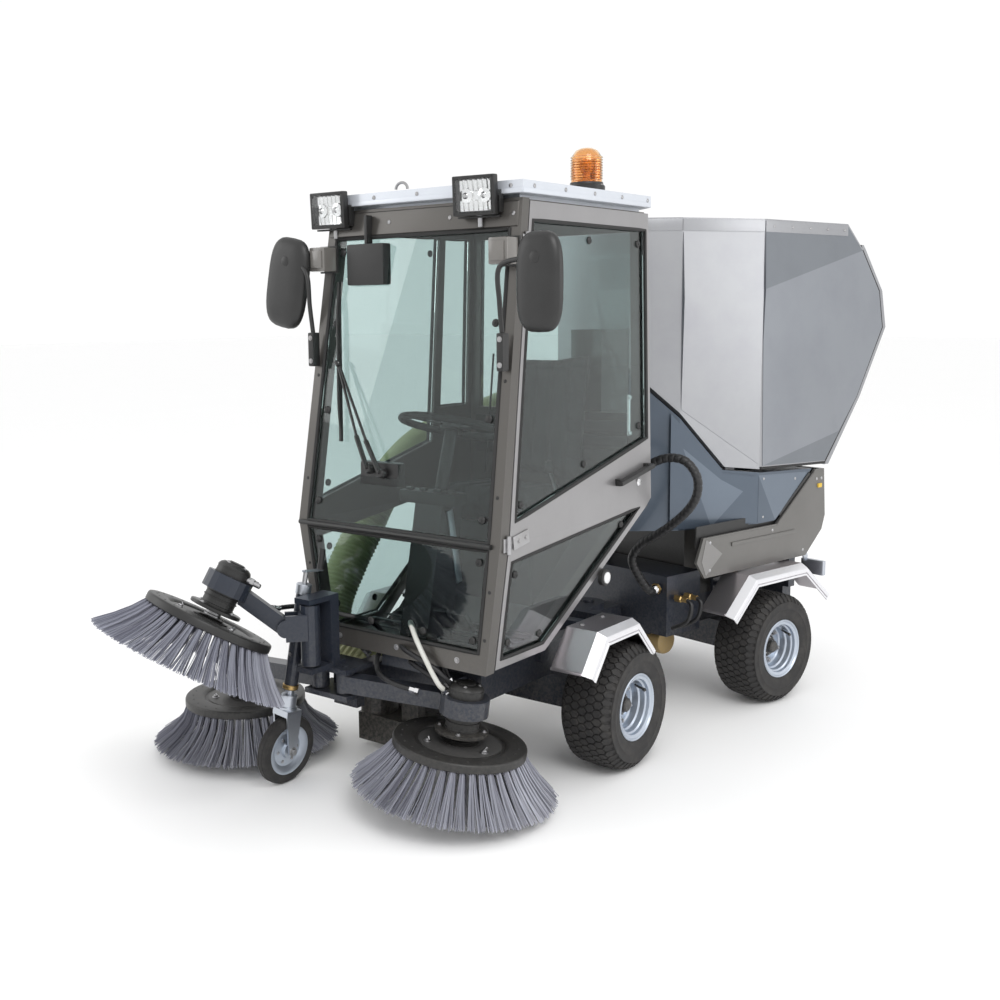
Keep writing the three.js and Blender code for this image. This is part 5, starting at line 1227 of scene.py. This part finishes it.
def wheel(name, body, joint, outboard):
    middle = Vector(joints[joint]["pos_m"])
    out = Vector(joints[joint]["axis"]).normalized() * outboard
    side, other = across(out)

    def spot(radius, angle, height):
        return middle + ((side * math.cos(angle) + other * math.sin(angle)) * radius + out * height) / 1000

    tyre = Piece("tyre_rubber")
    tyre.lathe(tyre_profile + tyre_profile[:1], middle, out, 0, 96)
    hexagon = [(-19, 0), (-9, -13.2), (9, -13.2), (19, 0), (9, 13.2), (-9, 13.2)]
    lug = [(-19, 0), (-8, -13), (28, -8), (28, 8), (-8, 13)]
    step = math.tau / PITCHES
    blocks = []
    for column in range(-3, 4):
        outline = hexagon if abs(column) < 3 else [(a * (1 if column > 0 else -1), b) for a, b in lug]
        for k in range(PITCHES):
            turn = (k + 0.5 * (column % 2)) * step
            rings = []
            for shrink, depth in ((1.0, TREAD_DEPTH + 1), (0.93, 1.2), (0.82, 0.0)):
                ring = []
                for run, along in outline:
                    across_at, radius = tread(column * 29.5 + run * shrink, depth)
                    ring.append(spot(radius, turn + along * shrink / TYRE_RADIUS, across_at))
                rings.append(ring)
            blocks.append(rings)
    tyre.lofts(blocks, 0)
    tyre.done(name + "_tread_tyre", body, "rubber_black", (name + "_tyre",), sharp=34)

    rim = Piece("rim_metal", "black_paint", "steel", "black_plastic")
    rim.lathe(rim_profile, middle, out, 0, 64)
    rim.lathe([(0, 2), (44, 2), (44, 26), (38, 33), (27, 36), (25, 52), (20, 56), (0, 56)], middle, out, 1,
              32)
    for k in range(5):
        angle = math.tau * k / 5 + 0.3
        rim.bolt(spot(62, angle, 19), out, 11, 2, 13)
        rim.rod(spot(62, angle, 25), spot(62, angle, 38), 6, 2, 10)
    for k in range(8):
        angle = math.tau * k / 8
        rim.stud(spot(36, angle, 33), out, 3.5, 2, 3)
    stem = spot(88, 3.9, 46)
    tip = spot(76, 3.9, 84)
    rim.sweep(smooth_path([stem, spot(82, 3.9, 60), tip], 5), 4.2, 3, 8)
    rim.rod(tip, tip + (tip - spot(80, 3.9, 74)) * 1.1, 6.2, 3, 12)
    rim.done(name + "_steel_wheel", body, "galvanised", (name + "_rim",), sharp=28)


for end in ("front", "rear"):
    for side_name, sign in (("left", 1), ("right", -1)):
        wheel(f"{end}_{side_name}", f"{end}_{side_name}_wheel", f"{end}_{side_name}_roll", sign)


# ---- Fenders ------------------------------------------------------------------------------
def inward(path, depth):
    """An open (y, z) path drawn a distance to its inner side, mitred at its bends."""
    out = []
    for i, point in enumerate(path):
        here = Vector(point)
        ways = []
        if i:
            ways.append((here - Vector(path[i - 1])).normalized())
        if i < len(path) - 1:
            ways.append((Vector(path[i + 1]) - here).normalized())
        normals = [Vector((way.y, -way.x)) for way in ways]
        middle = sum(normals, Vector((0, 0))).normalized()
        out.append(here + middle * (depth / max(0.3, middle.dot(normals[0]))))
    return out


FENDER_IN, FENDER_OUT, FENDER_FOOT = 392, 552, 424
# Cross-section of the bent sheet: distance out and depth below the crown.
FENDER_SECTION = [(FENDER_IN, 0), (516, 0), (549, 15), (552, 18), (552, 34), (548, 36), (552, 38), (552, 46),
                  (547, 46),
                  (547, 20), (514, 4), (FENDER_IN, 4)]


def fender(name, body, world, side, path, arm_y, top):
    piece = Piece("fender_paint", "fender_lip_painted_highlight", "steel", "navy_paint")
    rows = {depth: inward(path, depth) for _, depth in FENDER_SECTION}
    rings = [[world(side * x, rows[d][k].x, rows[d][k].y) for x,
              d in FENDER_SECTION] for k in range(len(path))]
    # Strips 1, 2, 3, 5 and 6, the chamfer, outer face and bead, take the lighter finish as painted highlight; the
    # groove between them keeps the fender's own grey.
    piece.lofts([rings], 0, {1: 1, 2: 1, 3: 1, 5: 1, 6: 1})
    hem = [world(side * x, path[0][0] + 3, path[0][1] + 2) for x in (FENDER_IN, 514)]
    piece.bar(hem[0], hem[1], 8, 10, 0, 1.5)
    piece.bar(world(side * 203, arm_y, top - 17), world(side * (FENDER_IN + 40), arm_y, top - 17), 46, 24, 3,
              3)
    piece.bar(world(side * 215, arm_y, 370), world(side * 215, arm_y, top - 8), 46, 28, 3, 3)
    for y in (path[1][0] + 50, path[2][0] - 50):
        piece.bolt(world(side * (FENDER_IN + 30), y, top), UP, 7, 2, 4)
    piece.done(name + "_bent_fender", body, "silver", (name + "_fender",), sharp=20)


# Painted highlight: a lighter grey for the fender's chamfer, outer face and bead, on the same bent sheet as the rest.
FENDER_LIP_PAINTED_HIGHLIGHT = metal("fender_lip_painted_highlight", (0.72, 0.72, 0.74), (0.64, 0.64, 0.68), 0.22, 0.04, 0.3, 0.3, 0.45, 0.03)
FINISH["fender_lip_painted_highlight"] = FENDER_LIP_PAINTED_HIGHLIGHT
FRONT_FENDER = ([(-562, FENDER_FOOT), (-460, 552), (-223, 552), (-100, FENDER_FOOT)], -345, 552)
REAR_FENDER = ([(250, FENDER_FOOT), (400, 566), (760, 566), (930, FENDER_FOOT)], 690, 566)
for side_name, sign in (("left", 1), ("right", -1)):
    fender("front_" + side_name, "cab_module", cab, sign, *FRONT_FENDER)
    fender("rear_" + side_name, "rear_module", rear, sign, *REAR_FENDER)


# ---- Hopper, housing and apron ------------------------------------------------------------
def facets(piece, place, outline, inner, faces):
    """Folded sheet on a flat wall. Points are (along, up, proud); faces are point numbers and a finish."""
    part = bmesh.new()
    back = [part.verts.new(place(a, b, -1)) for a, b, _ in outline]
    front = [part.verts.new(place(*p)) for p in outline + inner]
    marks = {part.faces.new([front[i] for i in ids]): mark for ids, mark in faces}
    count = len(outline)
    for i in range(count):
        j = (i + 1) % count
        part.faces.new((back[i], back[j], front[j], front[i]))
    part.faces.new(back)
    bmesh.ops.recalc_face_normals(part, faces=part.faces)
    for face in part.faces:
        face.material_index = marks.get(face, 0)
    mesh = bpy.data.meshes.new("facets")
    part.to_mesh(mesh)
    part.free()
    piece.bm.from_mesh(mesh)
    bpy.data.meshes.remove(mesh)


def side_wall(side, x):
    return lambda y, z, proud: rear(side * (x + proud), y, z)


def nose_wall(side):
    """The slanting wall between the hopper's front and its side, measured from its front edge."""
    start, end = Vector((330, 180)), Vector((450, 540))
    way = (end - start).normalized()

    def place(run, z, proud):
        at = start + way * run
        return rear(side * (at.x + way.y * proud), at.y - way.x * proud, z)
    return place


SIDE_OUTLINE = [(560, 992, 2), (1006, 976, 2), (1236, 1240, 2), (1424, 1545, 2), (1389, 1704, 2),
                (1246, 1880, 2),
                (1128, 1979, 2), (546, 1979, 2), (546, 1712, 9), (546, 1504, 2)]
SIDE_INNER = [(926, 1580, 24), (786, 1751, 6), (1090, 1098, 10)]
# Faces marked 1 take the darker silver: painted shade under the top flange and on the low facets along the bottom
# edge.
SIDE_FACES = [((7, 8, 5, 6), 1), ((8, 11, 5), 0), ((8, 9, 10, 11), 0), ((11, 10, 5), 0), ((10, 4, 5), 0),
              ((10, 3, 4), 0), ((10, 12, 2, 3), 0), ((12, 1, 2), 1), ((9, 0, 12, 10), 0), ((0, 1, 12), 1)]
NOSE_LENGTH = 379

# Finish 0 is the silver darkened as painted shade on the sides.
hopper_skin = Piece("silver_side_painted_shade", "silver_recess_painted_shade", "silver_paint", "steel", "seal_rubber")
for side in (-1, 1):
    facets(hopper_skin, side_wall(side, 450), SIDE_OUTLINE, SIDE_INNER, SIDE_FACES)
    facets(hopper_skin, nose_wall(side), [(4, 1240, 2), (NOSE_LENGTH - 4, 1000, 2),
                                          (NOSE_LENGTH - 4, 1676, 10),
           (NOSE_LENGTH - 4, 1934, 2), (4, 1934, 2), (4, 1676, 16)], [],
           [((0, 1, 2, 5), 2), ((5, 2, 3, 4), 2)])
    # Folded flange along the top, with its fixings, and the rubber strip along the lower edge.
    for start, end in (((450, 546), (450, 1128)), ((330, 180), (450, 540)), ((200, 24), (330, 180))):
        hopper_skin.bar(rear(side * start[0], start[1], 1962), rear(side * end[0], end[1], 1962), 7, 46, 2, 2)
    for y in range(600, 1101, 125):
        hopper_skin.stud(rear(side * 453.5, y, 1962), REAR_SIDE * side, 6, 3, 3)
    hopper_skin.sweep([rear(side * 451, y, z) for y, z in ((546, 984), (560, 982), (780, 974), (1006, 967))],
                      5, 4, 8)
    hopper_skin.sweep([rear(side * 447, y, z) for y, z in ((1008, 967), (1240, 1243), (1430, 1545),
                                                           (1394, 1706),
                                                           (1250, 1882))], 5, 4, 8)
hopper_skin.bar(rear(-200, 21, 1962), rear(200, 21, 1962), 7, 46, 2, 2)
hopper_skin.bar(rear(0, 1132, 1984), rear(0, 1230, 1912), 884, 5, 0, 1)
for x in (-150, 0, 150):
    hopper_skin.stud(rear(x, 17.5, 1962), -REAR_BACK, 6, 3, 3)
hopper_skin.done("hopper_folded_skin", "hopper_body", "silver")

# The door's pressed face, its hinges along the top and its latches.
door_skin = Piece("silver_paint", "silver_side_painted_shade", "steel", "black_plastic")
for a, b in (((1425, 1706), (1462, 1545)), ((1462, 1545), (1270, 1240)), ((1270, 1240), (1042, 957))):
    way = (Vector(b) - Vector(a)).normalized()
    lift = Vector((-way.y, way.x)) * 2
    start, end = Vector(a).lerp(Vector(b), 0.12) + lift, Vector(a).lerp(Vector(b), 0.88) + lift
    for x in (-220, 0, 220):
        door_skin.bar(rear(x, *start), rear(x, *end), 40, 8, 0, 3)
for side in (-1, 1):
    door_skin.box(rear(side * 300, 1243, 1908), (90, 30, 18), 2, 4, (REAR_SIDE, REAR_BACK, UP))
    door_skin.box(rear(side * 380, 1030, 985), (36, 16, 60), 2, 4, (REAR_SIDE, REAR_BACK, UP))
    door_skin.rod(rear(side * 400, 1034, 985), rear(side * 360, 1034, 985), 8, 3)
door_skin.done("hopper_door_ribs", "hopper_door_body", "silver")

housing_skin = Piece("slate_paint", "slate_painted_highlight", "black_plastic", "steel")
for side in (-1, 1):
    # Finish 1 paints some facets lighter than the rest of the same slate sheet: painted highlight.
    facets(housing_skin, side_wall(side, 444), [(546, 754, 1), (658, 754, 6), (905, 936, 1), (560, 952, 1),
           (546, 952, 1)], [], [((0, 1, 4), 0), ((1, 2, 3, 4), 1)])
    facets(housing_skin, nose_wall(side), [(-40, 756, -4), (150, 756, 6), (NOSE_LENGTH - 8, 756, -4),
           (NOSE_LENGTH - 8, 950, -4), (205, 974, -2), (-40, 1225, -4)], [],
           [((0, 1, 5), 0), ((1, 4, 5), 1), ((1, 3, 4), 1), ((1, 2, 3), 0)])
    housing_skin.box(rear(side * 427, 550, 735), (6, 760, 90), 2, 1, (REAR_SIDE, REAR_BACK, UP))
    housing_skin.bar(rear(side * 446, 690, 772), rear(side * 446, 900, 930), 6, 12, 2, 1)
    for y, z in ((580, 775), (640, 775), (580, 935), (800, 915)):
        housing_skin.stud(rear(side * 445, y, z), REAR_SIDE * side, 6, 3, 3)
housing_skin.done("housing_folded_skin", "rear_module", "slate_blue")

apron_skin = Piece("apron_paint", "apron_painted_highlight", "steel", "black_plastic", "yellow_paint", "galvanised")
for side in (-1, 1):
    # Finish 1 paints the two facets at the apron's front end lighter than the rest of the same sheet: painted
    # highlight.
    facets(apron_skin, side_wall(side, 450), [(180, 640, 1), (206, 728, 1), (668, 728, 1), (935, 932, 1),
                                              (1002, 932, 1),
           (1012, 735, 1), (992, 678, 1), (880, 580, 1), (206, 580, 1)], [(300, 660, 8), (860, 660, 8)],
           [((0, 1, 9), 1), ((1, 2, 10, 9), 0), ((2, 3, 4, 5, 10), 0), ((5, 6, 7, 10), 0), ((7, 8, 9, 10), 0),
            ((8, 0, 9), 1)])
    apron_skin.bar(rear(side * 457, 360, 690), rear(side * 457, 790, 690), 6, 16, 0, 3)
    for y, z in ((230, 600), (230, 712), (640, 712), (860, 600), (985, 900), (950, 900)):
        apron_skin.stud(rear(side * 451, y, z), REAR_SIDE * side, 7, 2, 4)
    apron_skin.bar(rear(side * 446, 962, 905), rear(side * 446, 1000, 760), 30, 6, 5, 2)
    apron_skin.box(rear(side * 455, 968, 870), (8, 26, 18), 4, 2, (REAR_SIDE, REAR_BACK, UP))
apron_skin.done("apron_pressed_skin", "rear_module", "warm_grey")

# Tail lamps, the tank under the rear frame and the fittings between the modules.
tail = Piece("galvanised", "red_lens", "amber_lens", "black_plastic", "gold_paint", "steel", "brass",
             "hose_rubber")
for side in (-1, 1):
    tail.box(rear(side * 480, 900, 524), (110, 22, 64), 0, 5, (REAR_SIDE, REAR_BACK, UP))
    tail.box(rear(side * 504, 915, 524), (46, 12, 48), 1, 4, (REAR_SIDE, REAR_BACK, UP))
    tail.box(rear(side * 454, 915, 524), (40, 12, 48), 2, 4, (REAR_SIDE, REAR_BACK, UP))
    tail.bar(rear(side * 442, 900, 552), rear(side * 442, 880, 600), 40, 6, 0, 2)
drum = rear(250, 215, 270)
profile = [(0, 0), (40, 0), (52, 5), (56, 14), (56, 120), (52, 130), (40, 135), (0, 135)]
tail.lathe(profile, drum, -REAR_SIDE, 4, 28)
tail.bar(rear(180, 215, 300), rear(180, 215, 362), 60, 8, 5, 2)
for offset in (0, 60):
    tail.lathe([(0, 0), (15, 0), (15, 30), (11, 34), (11, 60), (0, 60)], rear(314, 190 + offset, 470),
               REAR_SIDE, 6, 6)
    tail.sweep(smooth_path([rear(370, 190 + offset, 470), rear(395, 190 + offset, 450),
                            rear(390, 170 + offset, 390),
                            rear(330, 150 + offset, 352)], 6), 9, 7, 10)
tail.done("rear_frame_fittings", "rear_module", "galvanised")

# ---- Cab inside ---------------------------------------------------------------------------
inside = Piece("headliner_cloth", "black_plastic", "dark_plastic", "galvanised", "steel", "cab_glass")
inside.box(cab(0, -330, 1972), (770, 700, 8), 0, 3)
inside.box(cab(-212, -772, 1800), (168, 44, 140), 1, 8)
inside.box(cab(-212, -748, 1800), (144, 6, 112), 2, 3)
inside.bar(cab(-212, -772, 1868), cab(-212, -772, 1966), 30, 12, 1, 3)
for z in (1090, 1145, 1200):
    inside.box(cab(0, 20, z), (700, 12, 44), 1, 5)
inside.box(cab(0, -700, 1002), (250, 70, 46), 1, 12)
for x in (-90, -30, 30, 90):
    inside.box(cab(x, -712, 1028), (26, 16, 12), 2, 3)
for side in (-1, 1):
    inside.bar(cab(side * 66, -640, 700), cab(side * 66, -690, 960), 30, 5, 3, 1.5)
    inside.bolt(cab(side * 69, -665, 830), (side, 0, 0), 6, 4, 4)
for x in (95, 175):
    inside.box(cab(x, -760, 600), (60, 16, 92), 1, 5, (LEFT, Vector((0, 1, 0.8)), Vector((0, -0.8, 1))))
for k in range(5):
    inside.box(cab(0, -820 + k * 70, 526), (620, 18, 4), 2, 1.5)
lever = [cab(262, -330, 900), cab(266, -345, 1010), cab(262, -380, 1090)]
inside.sweep(smooth_path(lever, 6), 7, 4, 10)
inside.lathe([(0, -22), (14, -18), (18, 0), (13, 20), (0, 25)], lever[-1], UP, 1, 18)
inside.box(cab(268, -250, 905), (60, 300, 60), 2, 12)
inside.done("cab_interior", "cab_module", "black")

wheel_at = Vector(joints["steering_wheel_turn"]["pos_m"])
wheel_axis = Vector(joints["steering_wheel_turn"]["axis"]).normalized()
if wheel_axis.z < 0:
    wheel_axis = -wheel_axis
side_way, other_way = across(wheel_axis)
hub = wheel_at + wheel_axis * 0.0133
steering = Piece("black_plastic", "steel", "seal_rubber")
grip = []
for i in range(72):
    angle = math.tau * i / 72
    grip.append(hub + (side_way * math.cos(angle) + other_way * math.sin(angle)) * 0.180)
steering.sweep(grip, [13.5 if i % 3 else 12.6 for i in range(72)], 2, 14, closed=True)
for k in range(3):
    angle = math.tau * k / 3 + 0.5
    out = side_way * math.cos(angle) + other_way * math.sin(angle)
    steering.bar(hub + out * 0.03, hub + out * 0.172, 26, 8, 0, 3)
steering.lathe([(0, -12), (40, -12), (44, -4), (42, 10), (30, 15), (0, 16)], hub, wheel_axis, 0, 32)
steering.lathe([(0, 15), (22, 15), (20, 18), (0, 19)], hub, wheel_axis, 1, 24)
steering.done("steering_wheel_grip", "steering_wheel_body", "black", ("steering_wheel",))


# ---- Seat ---------------------------------------------------------------------------------
SEAT_VOXEL = 0.006
SEAT_SWELL = 0.024


def applied(thing):
    """The mesh with its modifiers worked in."""
    mesh = bpy.data.meshes.new_from_object(thing.evaluated_get(bpy.context.evaluated_depsgraph_get()))
    thing.modifiers.clear()
    thing.data = mesh
    return thing


def pad(name, node, outline, half, channels, along):
    """A foam pad blown up as cloth, with sewn channels pressed in."""
    piece = Piece("seat_cloth")
    piece.prism([cab(-half, y, z) for y, z in outline], (2 * half, 0, 0), 0, 22, 4)
    thing = piece.done(name, "cab_module", "fabric_black", (node,), sharp=180)
    body = thing.matrix_world.copy()
    parent = thing.parent
    thing.parent = None
    thing.matrix_world = Matrix.Identity(4)
    cover = thing.modifiers.new("cover", "REMESH")
    cover.mode = "VOXEL"
    cover.voxel_size = SEAT_VOXEL
    applied(thing)
    start = [v.co.copy() for v in thing.data.vertices]
    cloth = thing.modifiers.new("cloth", "CLOTH")
    cloth.settings.use_pressure = True
    cloth.settings.uniform_pressure_force = 4
    cloth.settings.effector_weights.gravity = 0
    cloth.point_cache.frame_start, cloth.point_cache.frame_end = 1, 20
    for step in range(1, 21):
        bpy.context.scene.frame_set(step)
    applied(thing)
    for vert, was in zip(thing.data.vertices, start):
        moved = vert.co - was
        if moved.length > SEAT_SWELL:
            vert.co = was + moved.normalized() * SEAT_SWELL
    bpy.context.scene.frame_set(1)
    thing.modifiers.new("smooth", "SUBSURF").levels = 1
    applied(thing)
    middle = sum((v.co for v in thing.data.vertices), Vector()) / len(thing.data.vertices)
    for vert in thing.data.vertices:
        gap = min(abs((vert.co - middle).x * 1000 - c) for c in channels)
        if (vert.co - middle).dot(along) > 0.0 and gap < 14:
            vert.co -= along * 0.009 * math.cos(gap / 14 * math.pi / 2)
    thing.data.polygons.foreach_set("use_smooth", [True] * len(thing.data.polygons))
    thing.parent = parent
    thing.matrix_world = body
    return thing


pad("padded_seat_cushion", "seat_cushion", [(-458, 896), (-82, 896), (-82, 962), (-432, 982), (-472, 956)],
    218,
    (-150, -75, 0, 75, 150), Vector((0, 0, 1)))
pad("padded_seat_back", "seat_back", [(-104, 1000), (-32, 994), (12, 1468), (-44, 1474)], 208,
    (-150, -75, 0, 75, 150),
    Vector((0, -1, 0.1)).normalized())
piping = Piece("seal_rubber")
for side in (-1, 1):
    piping.sweep(smooth_path([cab(side * 224, y, z) for y, z in ((-464, 950), (-428, 980), (-84, 962))], 8),
                 4, 0, 8)
    piping.sweep(smooth_path([cab(side * 214, y, z) for y, z in ((-106, 1004), (-74, 1240), (-46, 1470))],
                             8), 4, 0, 8)
piping.done("seat_piping", "cab_module", "fabric_black")

# ---- Door hardware ------------------------------------------------------------------------
fittings = Piece("black_plastic", "steel", "reflector_white", "chrome", "white_plastic")
fittings.bar(lean(462, -225, 1026), lean(462, 19, 1067), 26, 16, 0, 6)
for y, z in ((-205, 1029), (0, 1064)):
    fittings.bar(lean(438, y, z), lean(462, y, z), 26, 26, 0, 5)
fittings.lathe([(0, -2), (15, -2), (15, 3), (11, 6), (0, 6)], lean(441, -50, 1012), (1, 0, 0), 3, 24)
fittings.lathe([(0, -6), (30, -6), (30, 10), (26, 14), (0, 14)], cab(421, -262, 693), (1, 0, 0), 0, 32)
fittings.lathe([(0, 13), (21, 13), (20, 17), (12, 20), (0, 21)], cab(421, -262, 693), (1, 0, 0), 2, 32)
fittings.rod(lean(402, -60, 1180), lean(402, -60, 1330), 7, 3)
for z in (1190, 1320):
    fittings.bar(lean(402, -60, z), lean(414, -60, z), 14, 14, 3, 3)
for y, z, reach in ((-848, 911, 84), (-848, 1853, 60)):
    fittings.bar(lean(442, y, z), lean(442, y + reach, z + 14), 5, 44, 1, 2)
    for step in (0.35, 0.8):
        fittings.bolt(lean(444, y + reach * step, z + 14 * step), (1, 0, 0), 6, 1, 4)
fittings.done("door_fittings", "left_door_body", "black")
hinges = Piece("steel")
for z in (911, 1853):
    spot = lean(446, -878, z)
    hinges.rod(spot - UP * 0.03, spot + UP * 0.03, 8, 0)
    hinges.bar(lean(441, -900, z), lean(441, -880, z), 5, 44, 0, 1.5)
hinges.done("door_hinge_barrels", "cab_module", "galvanised")

# ---- Sweeper unit's hydraulic lines -------------------------------------------------------
lines = Piece("hose_rubber", "chrome", "white_hose", "brass")
ROUTES = (
    [(-120, -720, 402), (-160, -840, 560), (-230, -930, 600), (-300, -1010, 640)],
    [(-90, -720, 402), (-110, -860, 470), (-40, -960, 440), (40, -985, 420), (120, -960, 402)],
    [(-310, -720, 402), (-360, -820, 520), (-400, -930, 600), (-420, -1060, 620)],
    [(0, -720, 402), (20, -850, 590), (110, -930, 560), (190, -930, 440), (205, -900, 400)],
    [(-60, -700, 400), (-20, -800, 452), (60, -900, 470), (150, -905, 440), (190, -880, 390)],
    [(-110, -700, 400), (-60, -820, 500), (60, -930, 520), (190, -920, 470), (214, -868, 400)],
    [(-200, -700, 410), (-240, -820, 500), (-280, -920, 560), (-300, -980, 520)],
    [(-250, -700, 410), (-290, -800, 470), (-340, -880, 520), (-360, -930, 470), (-330, -900, 400)],
    [(40, -700, 400), (80, -790, 500), (140, -850, 500), (160, -820, 400)],
)
for i, route in enumerate(ROUTES):
    line = smooth_path([cab(*p) for p in route], 8)
    lines.sweep(line, 8.5, 2 if i == 3 else 0, 12)
    for end, before in ((line[0], line[1]), (line[-1], line[-2])):
        way = (end - before).normalized()
        lines.lathe([(0, -16), (11, -16), (11, 4), (14, 4), (14, 16), (0, 16)], end, way, 1, 6)
lines.done("sweeper_hydraulic_lines", "cab_module", "hose_black")
